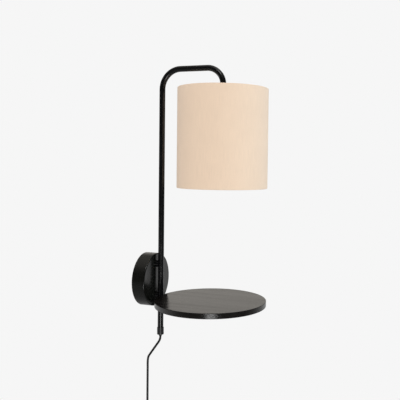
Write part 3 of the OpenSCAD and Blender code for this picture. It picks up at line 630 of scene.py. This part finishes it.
def nipple_thread(material):
    """The hollow M10 nipple"""
    radius, height, foot = upright("stem_nipple")
    chamfer, root = 0.0005, radius - 0.0006
    outline = plain((0, NIPPLE_BORE), (0, root))
    outline += thread_points(chamfer, height - chamfer, radius, NIPPLE_THREAD, fade=0.5)
    outline += plain((height, root), (height, NIPPLE_BORE), (0, NIPPLE_BORE))
    return turned_piece("nipple_thread", material, "stem_nipple", outline, [foot], UPWARDS,
                        pitch=NIPPLE_THREAD[0], sides=40)


def stud_threads(material):
    """The two M5 studs welded to the tube"""
    low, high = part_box("mounting_studs")
    length, radius = high.y - low.y, (high.x - low.x) / 2
    unthreaded = 0.003
    outline = plain((0, 0), (0, radius - 0.0006), (0.0005, radius - 0.0002))
    outline += thread_points(0.0006, length - unthreaded, radius, STUD_THREAD, fade=0.5)
    outline += plain((length, radius), (length, 0))
    places = [(0, high.y, z) for z in (low.z + radius, high.z - radius)]
    return turned_piece("stud_threads", material, "mounting_studs", outline, places,
                        OFF_THE_WALL, pitch=STUD_THREAD[0], sides=32)


def wood_screws(material):
    """Three raised-head wood screws with a cross recess, driven up through the bar"""
    low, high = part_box("shelf_screws")
    head_radius, length = (high.x - low.x) / 2, high.z - low.z
    crown, head, shank = 0.00245, 0.00245, 0.00175
    unthreaded, point = 0.0032, 0.0018
    outline = flat_crown(crown)
    outline += plain((0.0003, 0.0029), (0.0009, 0.0033), (0.0016, head_radius), (0.0021, head_radius),
                     (head, head_radius - 0.0002), (head, shank))
    outline += thread_points(head + unthreaded, length - point, shank, WOOD_THREAD)
    outline += plain((length, 0.0003), (length, 0))
    middle = (low.y + high.y) / 2
    spacing = (high.y - low.y) / 2 - head_radius
    places = [(0, y, low.z) for y in (middle - spacing, middle, middle + spacing)]
    return turned_piece("wood_screws", material, "shelf_screws", outline, places, UPWARDS,
                        pitch=WOOD_THREAD[0], recess=cross_recess)


def shell_screws(material):
    """The two screws that hold the inline switch together, in opposite corners, with a cross recess"""
    low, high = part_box("switch_screws")
    length = high.y - low.y
    crown, head_radius, head, shank, tip = 0.0024, 0.0028, 0.0019, 0.0015, 0.0008
    unthreaded, point = 0.0015, 0.0006
    outline = flat_crown(crown)
    outline += plain((0.0003, head_radius - 0.0001), (0.0006, head_radius),
                     (head, head_radius), (head, shank))
    outline += thread_points(head + unthreaded, length - point, shank, SHELL_THREAD)
    outline += plain((length, tip), (length, 0))
    places = [(corner.x + inwards, high.y, corner.z + inwards)
              for corner, inwards in ((low, head_radius), (high, -head_radius))]
    return turned_piece("shell_screws", material, "switch_screws", outline, places,
                        OFF_THE_WALL, pitch=SHELL_THREAD[0], recess=cross_recess)


def ribbed_relief(material):
    """The strain relief: a barrel in the tube, a flange, and a tapered tip with two grooves"""
    flange, height, foot = upright("strain_relief")
    bore, neck, barrel = 0.00235, 0.0034, 0.0044
    # The grooved tip, then the neck and the flange, then the barrel and the bore
    outline = plain(
        (0.0, bore), (0.0, 0.0026), (0.0003, 0.0028), (0.0010, 0.0029), (0.0012, 0.0027),
        (0.0016, 0.0027), (0.0018, 0.0030), (0.0025, 0.0031), (0.0027, 0.0029), (0.0031, 0.0029),
        (0.0033, 0.0033), (0.0040, neck), (0.0060, neck), (0.0060, flange), (0.0074, flange),
        (0.0075, flange - 0.0001), (0.0075, barrel), (height - 0.0005, barrel),
        (height, barrel - 0.0004), (height, bore), (0.0, bore))
    return turned_piece("ribbed_relief", material, "strain_relief", outline, [foot], UPWARDS)


# ---- Shade ----


def cloth_section(sizes):
    """The cloth's middle line as (radius, z), from the bottom hem round the outside to the top hem"""
    outer = (SHADE_HIGH.x - SHADE_LOW.x) / 2 - sizes.cloth_thickness / 2
    inner = (LINER_HIGH.x - LINER_LOW.x) / 2 - LINER_WALL - sizes.cloth_thickness * 0.75
    wire = (WIRE_HIGH.z - WIRE_LOW.z) / 2
    wire_radius = (WIRE_HIGH.x - WIRE_LOW.x) / 2 - wire
    wrap = wire + SLIP + sizes.cloth_thickness / 2
    wire_height = WIRE_LOW.z + wire
    corner, row_gap = 0.0012, 0.05
    hem_top = wire_height + wrap + sizes.hem_depth
    section = [(inner, hem_top), (inner, wire_height + wrap + corner)]
    section += arc_points((wire_radius, wire_height), wrap, 75, 270, 12)
    bottom = wire_height - wrap
    section += arc_points((outer - corner, bottom + corner), corner, -90, 0, 5)
    middle = SHADE_AXIS.z
    mirrored = [(r, 2 * middle - z) for r, z in reversed(section)]
    return section + [(outer, middle - row_gap), (outer, middle), (outer, middle + row_gap)] + mirrored


def shade_cloth_piece(sizes, material):
    """The cloth: one strip round the shade, its ends glued over each other, its edges rolled in"""
    section = cloth_section(sizes)
    around = (SHADE_HIGH.x - SHADE_LOW.x) / 2
    steps = 360
    turn = math.tau + sizes.seam_overlap / around
    # The outer end rises over this width, by a little more than the cloth's thickness
    lift_over = 0.0030 / around
    lifted = 1.08 * sizes.cloth_thickness
    form = bmesh.new()
    rows = []
    for i in range(steps + 1):
        swept = turn * i / steps
        rise = min(max((swept - (math.tau - lift_over)) / lift_over, 0), 1)
        lift = lifted * rise * rise * (3 - 2 * rise)
        angle = sizes.seam_angle + swept
        row = []
        for radius, z in section:
            reach = radius + lift
            row.append(form.verts.new((
                SHADE_AXIS.x + reach * math.cos(angle), SHADE_AXIS.y + reach * math.sin(angle), z)))
        rows.append(row)
    uv = form.loops.layers.uv.new(CLOTH_MAP)
    lengths = [0.0]
    for (r0, z0), (r1, z1) in zip(section, section[1:]):
        lengths.append(lengths[-1] + math.hypot(r1 - r0, z1 - z0))
    for i in range(steps):
        for j in range(len(section) - 1):
            face = form.faces.new((rows[i][j], rows[i][j + 1], rows[i + 1][j + 1], rows[i + 1][j]))
            face.smooth = True
            corners = ((i, j), (i, j + 1), (i + 1, j + 1), (i + 1, j))
            for loop, (a, b) in zip(face.loops, corners):
                loop[uv].uv = (around * turn * a / steps, lengths[b])
    piece = new_piece("shade_cloth", material)
    form.to_mesh(piece.data)
    form.free()
    thick = piece.modifiers.new("thickness", "SOLIDIFY")
    thick.thickness = sizes.cloth_thickness
    thick.offset = 0
    apply_modifiers(piece)
    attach(piece, LAMP_BODY)
    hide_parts("shade_fabric")
    return piece


# ---- Cord ----


def eased(share):
    """0..1 with a soft start and end"""
    share = min(max(share, 0.0), 1.0)
    return (1 - math.cos(math.pi * share)) / 2


def coil_points(sizes):
    """Seven turns on four radii: inwards at the back, then outwards in front"""
    d = sizes.cord_diameter
    outermost = sizes.coil_radius + RADIUS_STEPS / 2 * d
    back, front = CORD_ROUTE[-1][0], PLUG_LEAD[0][0]
    points = []
    for i in range(COIL_TURNS * sizes.coil_steps + 1):
        turned = 360 * i / sizes.coil_steps
        inwards = sum(eased((turned - INWARDS_FROM - 360 * k) / STEP_TURN) for k in range(RADIUS_STEPS))
        outwards = sum(eased((turned - OUTWARDS_FROM - 360 * k) / STEP_TURN) for k in range(RADIUS_STEPS))
        radius = outermost - d * inwards + d * outwards
        y = back + (front - back) * eased((turned - FRONT_FROM) / FRONT_TURN)
        angle = math.radians(COIL_ENTRY + turned)
        x = outermost + radius * math.cos(angle)
        points.append((x, y, COIL_HEIGHT + radius * math.sin(angle)))
    return points


def cord_piece(sizes, material):
    """The whole cord on one curve, from the lamp to the plug"""
    points = [(0, y, z) for y, z in CORD_ROUTE]
    points += coil_points(sizes)
    points += [(0, y, z) for y, z in PLUG_LEAD]
    curve = bpy.data.curves.new("cord_line", "CURVE")
    curve.dimensions = "3D"
    curve.bevel_depth = sizes.cord_diameter / 2
    curve.bevel_resolution = 5
    curve.resolution_u = 4
    curve.use_fill_caps = True
    spline = curve.splines.new("BEZIER")
    spline.bezier_points.add(len(points) - 1)
    for knot, point in zip(spline.bezier_points, points):
        knot.co = point
        knot.handle_left_type = knot.handle_right_type = "AUTO"
    curve.materials.append(material)
    piece = bpy.data.objects.new("cord_line", curve)
    bpy.context.scene.collection.objects.link(piece)
    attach(piece, LAMP_BODY)
    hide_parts("cord", "cord_coil", "plug_lead")
    return piece


def tie_piece(sizes, material):
    """A rubber strap round the coil's bundle"""
    d = sizes.cord_diameter
    centre_x = sizes.coil_radius + RADIUS_STEPS / 2 * d
    middle_y = (CORD_ROUTE[-1][0] + PLUG_LEAD[0][0]) / 2
    form = bmesh.new()
    rings = []
    loop = strap_loop(2 * d + TIE_SLACK, d + TIE_SLACK, d / 2, TIE_THICKNESS)
    for i in range(TIE_RINGS):
        slant = math.radians(-TIE_HALF_TURN + 2 * TIE_HALF_TURN * i / (TIE_RINGS - 1))
        ring = []
        for across, depth in loop:
            radius = sizes.coil_radius + across
            x = centre_x + radius * math.cos(slant)
            ring.append(Vector((x, middle_y + depth, COIL_HEIGHT + radius * math.sin(slant))))
        rings.append(ring)
    skin_band(form, rings, len(loop) // 2)
    piece = fill_piece(new_piece("cord_tie", material), form)
    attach(piece, LAMP_BODY)
    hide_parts("coil_tie")
    return piece


def strap_loop(half_width, half_depth, corner, thickness):
    """The strap's section: an outer rounded rectangle, then the inner one, as flat points"""
    loops = []
    for grow in (thickness, 0.0):
        w, h, r = half_width + grow, half_depth + grow, corner + grow
        corners = ((w - r, h - r, 0), (r - w, h - r, 90), (r - w, r - h, 180), (w - r, r - h, 270))
        for x, y, start in corners:
            loops += arc_points((x, y), r, start, start + 90, 6)
    return loops


def skin_band(form, rings, half):
    """Faces of a closed band: outer wall, inner wall and its two edges"""
    rows = [[form.verts.new(point) for point in ring] for ring in rings]
    for low, high in zip(rows, rows[1:]):
        for first in (0, half):
            for i in range(half):
                a, b = first + i, first + (i + 1) % half
                form.faces.new((low[a], low[b], high[b], high[a]))
    for row in (rows[0], rows[-1]):
        for i in range(half):
            j = (i + 1) % half
            form.faces.new((row[i], row[j], row[half + j], row[half + i]))


# ---- Plug ----


def plug_rings(sizes):
    """Rings from the plug's nose up to the tip of its tail: (z, half width, half depth, squareness)"""
    half_width = (PLUG_HIGH.x - PLUG_LOW.x) / 2
    half_depth = (PLUG_HIGH.y - PLUG_LOW.y) / 2
    nose = PLUG_LOW.z
    # Height above the nose, shares of the half width and half depth, squareness
    levels = [
        (0.0, 0.86, 0.72, 5), (0.0003, 0.93, 0.86, 5), (0.0012, 0.98, 0.96, 5), (0.0028, 1.0, 1.0, 5),
        (0.008, 1.0, 1.0, 4.6), (0.014, 0.985, 1.0, 4.2), (0.019, 0.93, 0.985, 3.8), (0.024, 0.83, 0.95, 3.4),
        (0.029, 0.70, 0.90, 3.0), (0.033, 0.585, 0.86, 2.7), (0.0352, 0.50, 0.845, 2.4),
        (0.0366, 0.40, 0.80, 2.2), (0.0374, 0.36, 0.76, 2.0),
    ]
    rings = [(nose + z, half_width * w, half_depth * h, n) for z, w, h, n in levels]
    tail_low, tail_high = nose + 0.0382, PLUG_HIGH.z
    widest, narrowest, groove_depth, edge, tip = 0.0052, 0.0032, 0.0008, 0.0001, 0.0029
    pitch = (tail_high - tail_low) / sizes.plug_ribs
    for i in range(sizes.plug_ribs):
        base = tail_low + i * pitch
        radius = widest - (widest - narrowest) * i / (sizes.plug_ribs - 1)
        groove = radius - groove_depth
        rib = ((0.0, groove), (0.12, radius - edge), (0.2, radius), (0.62, radius), (0.7, radius - edge),
               (0.82, groove))
        rings += [(base + share * pitch, reach, reach, 2) for share, reach in rib]
    rings.append((tail_high, tip, tip, 2))
    return rings


def plug_piece(sizes, material):
    """The moulded plug with its ribbed tail"""
    form = bmesh.new()
    rings = [oval_ring(w, h, n, PLUG_AXIS.x, PLUG_AXIS.y, z) for z, w, h, n in plug_rings(sizes)]
    skin_rings(form, rings)
    piece = fill_piece(new_piece("plug_moulding", material), form)
    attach(piece, LAMP_BODY)
    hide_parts("plug_body")
    return piece


# ---- Stage ----

# The camera was fitted to the outlines of the tube, the canopy, the shade and the shelf
CAMERA_PLACE = (-1.1317, -0.6372, 0.2481)
CAMERA_TURN = math.radians(-71.26)
CAMERA_DIP = math.radians(1.95)
CAMERA_ROLL = math.radians(0.80)
FOCAL_PIXELS = 607.4
FRAME_PIXELS = 400
SENSOR_WIDTH = 36.0
CENTRE_PIXELS = (260.0, 183.0)
CLIP_DISTANCE = 60

FLOOR_RADIUS = 14
FLOOR_HEIGHT = -1.2
# Light of the surroundings on the lamp's surfaces
AMBIENT = 0.854
# The way ahead of the camera, level
AHEAD = (0.82, 0.57, 0.0)
# What glossy surfaces see: where each patch lies, where it starts and is full (as cosines), how bright it is
GLOSS_PATCHES = [
    ((0.946, 0.32, 0.23), 0.80, 0.98, 0.60),
    ((0.0, 0.0, 1.0), 0.5, 0.9, 0.36),
    (AHEAD, -0.75, 0.1, 0.06),
]
GLOSS_TINT = (1.0, 0.95, 0.88, 1.0)
FLOOR_IN_GLOSS = 0.70
# Name, place, target, width, height, watts, tint, and whether glossy surfaces mirror the light
LIGHTS = [
    ("key_light", (0.59, -2.36, 0.84), (0, -0.15, 0.1), 1.6, 1.6, 18.0, (0.60, 0.82, 1.0), False),
    ("top_light", (0.2, -0.6, 2.2), (0, -0.15, 0.1), 1.4, 1.4, 4.7, (1, 1, 1), True),
    ("low_light", (-1.28, -0.72, -0.57), (0, -0.12, -0.06), 0.45, 0.35, 5.0, (1, 1, 1), True),
    ("high_light", (-1.15, -0.66, 1.67), (0, -0.12, 0.4), 0.4, 0.4, 4.9, (1, 1, 1), True),
]


def make_camera():
    """The camera at the photograph's place and angle"""
    data = bpy.data.cameras.new("camera")
    data.sensor_width = SENSOR_WIDTH
    data.lens = FOCAL_PIXELS / FRAME_PIXELS * SENSOR_WIDTH
    data.shift_x = (FRAME_PIXELS / 2 - CENTRE_PIXELS[0]) / FRAME_PIXELS
    data.shift_y = (CENTRE_PIXELS[1] - FRAME_PIXELS / 2) / FRAME_PIXELS
    data.clip_end = CLIP_DISTANCE
    camera = bpy.data.objects.new("camera", data)
    bpy.context.scene.collection.objects.link(camera)
    level = math.pi / 2 - CAMERA_DIP
    turned = Matrix.Rotation(CAMERA_TURN, 4, "Z") @ Matrix.Rotation(level, 4, "X")
    rolled = turned @ Matrix.Rotation(CAMERA_ROLL, 4, "Z")
    camera.matrix_world = Matrix.Translation(CAMERA_PLACE) @ rolled
    bpy.context.scene.camera = camera


def make_world(level):
    """A pale backdrop; glossy surfaces see it bright and a little warm ahead, dimmer above, dark elsewhere"""
    world = bpy.data.worlds.new("studio")
    bpy.context.scene.world = world
    world.use_nodes = True
    tree = world.node_tree
    tree.nodes.clear()
    direction = put(tree, "TexCoord").outputs["Generated"]
    in_gloss = None
    for towards, low, high, amount in GLOSS_PATCHES:
        inputs = {0: direction, 1: Vector(towards).normalized()}
        nearness = put(tree, "VectorMath", inputs, operation="DOT_PRODUCT").outputs["Value"]
        patch = ramp(tree, nearness, low, high, 0.0, amount)
        in_gloss = patch if in_gloss is None else maths(tree, "ADD", in_gloss, patch)
    path = put(tree, "LightPath")
    clear = maths(tree, "MAXIMUM", path.outputs["Is Camera Ray"], path.outputs["Is Transmission Ray"])
    strength = put(tree, "Mix", {0: clear, 2: AMBIENT, 3: level}).outputs[0]
    plain = put(tree, "Background", {"Color": (1, 1, 1, 1), "Strength": strength})
    shine = put(tree, "Background", {"Color": GLOSS_TINT, "Strength": in_gloss})
    glossy = path.outputs["Is Glossy Ray"]
    mixed = put(tree, "MixShader", {0: glossy, 1: plain.outputs[0], 2: shine.outputs[0]})
    put(tree, "OutputWorld", {"Surface": mixed.outputs[0]})


def floor_finish(level):
    """Pale floor that melts into the backdrop away from the object and keeps its shadow near it.

    Glossy surfaces see painted light and shade on it: bright only far off and ahead of the camera, dimmer
    near the lamp as painted shade under it."""
    material, tree, shader = new_finish("floor_pale", (0.86, 0.86, 0.86), 0.9)
    places = put(tree, "TexCoord").outputs["Object"]
    distance = put(tree, "VectorMath", {0: places}, operation="LENGTH").outputs["Value"]
    mottle = noise(tree, places, 3, 2)
    uneven = maths(tree, "ADD", distance, maths(tree, "MULTIPLY", mottle, 0.05))
    share = ramp(tree, uneven, 0.4, 1.4, 0.78, 1.0)
    ahead = put(tree, "VectorMath", {0: places, 1: AHEAD}, operation="DOT_PRODUCT").outputs["Value"]
    # Painted light and shade for glossy rays: brighter ahead of the camera, dimmer on its side and near the
    # lamp, where the lamp and its wall would shade the floor
    in_gloss = maths(tree, "MULTIPLY", ramp(tree, ahead, -2.5, 2.5, 0.10, FLOOR_IN_GLOSS),
                     ramp(tree, distance, 1.5, 4.5, 0.62, 1.0))
    path = put(tree, "LightPath")
    glossy = path.outputs["Is Glossy Ray"]
    clear = maths(tree, "MAXIMUM", path.outputs["Is Camera Ray"], path.outputs["Is Transmission Ray"])
    fac = maths(tree, "MAXIMUM", maths(tree, "MULTIPLY", share, clear), glossy)
    strength = put(tree, "Mix", {0: glossy, 2: level, 3: in_gloss}).outputs[0]
    glow = put(tree, "Emission", {"Color": (1, 1, 1, 1), "Strength": strength})
    mixed = put(tree, "MixShader", {0: fac, 1: shader.outputs[0], 2: glow.outputs[0]})
    tree.links.new(mixed.outputs[0], tree.nodes["Material Output"].inputs["Surface"])
    return material


def make_floor(level):
    """A wide round floor, far below the lamp"""
    floor = new_piece("floor", floor_finish(level))
    form = bmesh.new()
    bmesh.ops.create_circle(form, cap_ends=True, segments=96, radius=FLOOR_RADIUS)
    fill_piece(floor, form)
    floor.location = (0, SHADE_AXIS.y, FLOOR_HEIGHT)


def soft_light(name, place, target, width, height, power, tint, in_gloss):
    """A soft box at place that faces target; glossy surfaces mirror it if in_gloss"""
    data = bpy.data.lights.new(name, "AREA")
    data.shape = "RECTANGLE"
    data.size = width
    data.size_y = height
    data.energy = power
    data.color = tint
    lamp = bpy.data.objects.new(name, data)
    bpy.context.scene.collection.objects.link(lamp)
    lamp.location = place
    lamp.rotation_euler = (Vector(target) - Vector(place)).to_track_quat("-Z", "Y").to_euler()
    lamp.visible_camera = False
    lamp.visible_glossy = in_gloss


# ---- Operators ----


class LAMP_OT_stage(bpy.types.Operator):
    """Make the camera, the backdrop, the floor and the studio lights"""

    bl_idname = "lamp.stage"
    bl_label = "Stage"
    bl_options = {"REGISTER", "UNDO"}

    def execute(self, context):
        colours = context.scene.lamp_colours
        make_camera()
        make_world(colours.backdrop)
        make_floor(colours.backdrop)
        for light in LIGHTS:
            soft_light(*light)
        return {"FINISHED"}


class LAMP_OT_cord(bpy.types.Operator):
    """Lay the cord through the switch, wind its stored length and tie it"""

    bl_idname = "lamp.cord"
    bl_label = "Cord"
    bl_options = {"REGISTER", "UNDO"}

    def execute(self, context):
        sizes = context.scene.lamp_sizes
        colours = context.scene.lamp_colours
        sheath = moulded("cord_sheath", colours.cord, roughness=0.45, spark=700)
        strap = moulded("tie_strap", colours.cord, roughness=0.7, spark=500)
        rubber = moulded("plug_rubber", colours.moulding, roughness=0.5)
        cord = cord_piece(sizes, sheath)
        tie = tie_piece(sizes, strap)
        plug = plug_piece(sizes, rubber)
        ribbed_relief(moulded("relief_rubber", colours.cord, roughness=0.5))
        screws = shell_screws(plated("screw_zinc", colours.steel, roughness=0.35))
        dress(sheath, "inner_flex")
        dress(rubber, "pin_sleeves")
        dress(plated("pin_nickel", PIN_NICKEL, roughness=0.22), "plug_pins")
        return {"FINISHED"}


class LAMP_OT_switch(bpy.types.Operator):
    """Finish the inline switch"""

    bl_idname = "lamp.switch"
    bl_label = "Inline switch"
    bl_options = {"REGISTER", "UNDO"}

    def execute(self, context):
        colours = context.scene.lamp_colours
        dress(moulded("switch_shell", colours.moulding, roughness=0.42), "switch_base", "switch_cover")
        dress(moulded("rocker_gloss", colours.moulding, roughness=0.3, spark=900), "switch_rocker")
        dress(plated("contact_brass", colours.brass, roughness=0.3), "switch_contacts")
        return {"FINISHED"}


class LAMP_OT_shade(bpy.types.Operator):
    """Make the shade's cloth and finish its liner and wires"""

    bl_idname = "lamp.shade"
    bl_label = "Shade"
    bl_options = {"REGISTER", "UNDO"}

    def execute(self, context):
        sizes = context.scene.lamp_sizes
        colours = context.scene.lamp_colours
        shade_cloth_piece(sizes, shade_cloth(colours.shade, sizes.thread_pitch))
        dress(liner_film(colours.liner), "shade_liner")
        dress(coated_wire(WIRE_CREAM), "shade_spider", "shade_bottom_ring")
        return {"FINISHED"}


class LAMP_OT_frame(bpy.types.Operator):
    """Finish the tube, its collars, the canopy and what holds them"""

    bl_idname = "lamp.frame"
    bl_label = "Tube and canopy"
    bl_options = {"REGISTER", "UNDO"}

    def execute(self, context):
        colours = context.scene.lamp_colours
        dress(powder_coat("tube_coat", colours.tube), "stem", "stud_spacers", "shelf_bracket")
        dress(canopy_lacquer(colours.canopy), "canopy")
        dress(powder_coat("screw_black", colours.tube, roughness=0.45), "canopy_screws")
        zinc = plated("zinc", colours.steel, roughness=0.38)
        dress(zinc, "wall_bracket", "stud_washers", "stud_nuts")
        stud_threads(zinc)
        dress(moulded("cap_rubber", colours.moulding, roughness=0.35), "end_cap")
        return {"FINISHED"}


class LAMP_OT_shelf(bpy.types.Operator):
    """Finish the shelf and its screws"""

    bl_idname = "lamp.shelf"
    bl_label = "Shelf"
    bl_options = {"REGISTER", "UNDO"}

    def execute(self, context):
        colours = context.scene.lamp_colours
        dress(stained_wood(colours.shelf), "shelf")
        wood_screws(plated("screw_brass", colours.brass, roughness=0.35))
        return {"FINISHED"}


class LAMP_OT_lampholder(bpy.types.Operator):
    """Finish the lampholder and the bulb"""

    bl_idname = "lamp.lampholder"
    bl_label = "Lampholder and bulb"
    bl_options = {"REGISTER", "UNDO"}

    def execute(self, context):
        colours = context.scene.lamp_colours
        black = moulded("holder_black", colours.moulding, roughness=0.32)
        dress(black, "holder_cap", "ring_nut")
        holder_thread(black)
        dress(ceramic(colours.porcelain), "holder_insert")
        brass = plated("brass", colours.brass, roughness=0.3)
        dress(brass, "holder_contacts")
        nipple_thread(brass)
        bulb_thread(plated("bulb_shell", BULB_SHELL, roughness=0.28))
        dress(opal_bulb("bulb_opal", BULB_OPAL, roughness=0.28), "bulb_globe")
        dress(opal_bulb("bulb_housing", BULB_HOUSING, roughness=0.4), "bulb_housing")
        return {"FINISHED"}


BUILDERS = (LAMP_OT_stage, LAMP_OT_cord, LAMP_OT_switch, LAMP_OT_shade, LAMP_OT_frame, LAMP_OT_shelf,
            LAMP_OT_lampholder)


class LAMP_PT_panel(bpy.types.Panel):
    """The lamp's pieces, sizes and colours"""

    bl_label = "Wall Lamp with Shelf"
    bl_idname = "LAMP_PT_panel"
    bl_space_type = "VIEW_3D"
    bl_region_type = "UI"
    bl_category = "Wall Lamp"

    def draw(self, context):
        for builder in BUILDERS:
            self.layout.operator(builder.bl_idname)
        for group in (context.scene.lamp_sizes, context.scene.lamp_colours):
            box = self.layout.box()
            for name in group.__annotations__:
                box.prop(group, name)


CLASSES = (LampSizes, LampColours, *BUILDERS, LAMP_PT_panel)


def register():
    for each in CLASSES:
        bpy.utils.register_class(each)
    bpy.types.Scene.lamp_sizes = PointerProperty(type=LampSizes)
    bpy.types.Scene.lamp_colours = PointerProperty(type=LampColours)


def unregister():
    del bpy.types.Scene.lamp_colours
    del bpy.types.Scene.lamp_sizes
    for each in reversed(CLASSES):
        bpy.utils.unregister_class(each)


def main():
    """Builds everything in order"""
    register()
    bpy.context.scene.view_settings.view_transform = "Standard"
    bpy.ops.lamp.stage()
    bpy.ops.lamp.cord()
    bpy.ops.lamp.switch()
    bpy.ops.lamp.shade()
    bpy.ops.lamp.frame()
    bpy.ops.lamp.shelf()
    bpy.ops.lamp.lampholder()


if __name__ == "__main__":
    main()
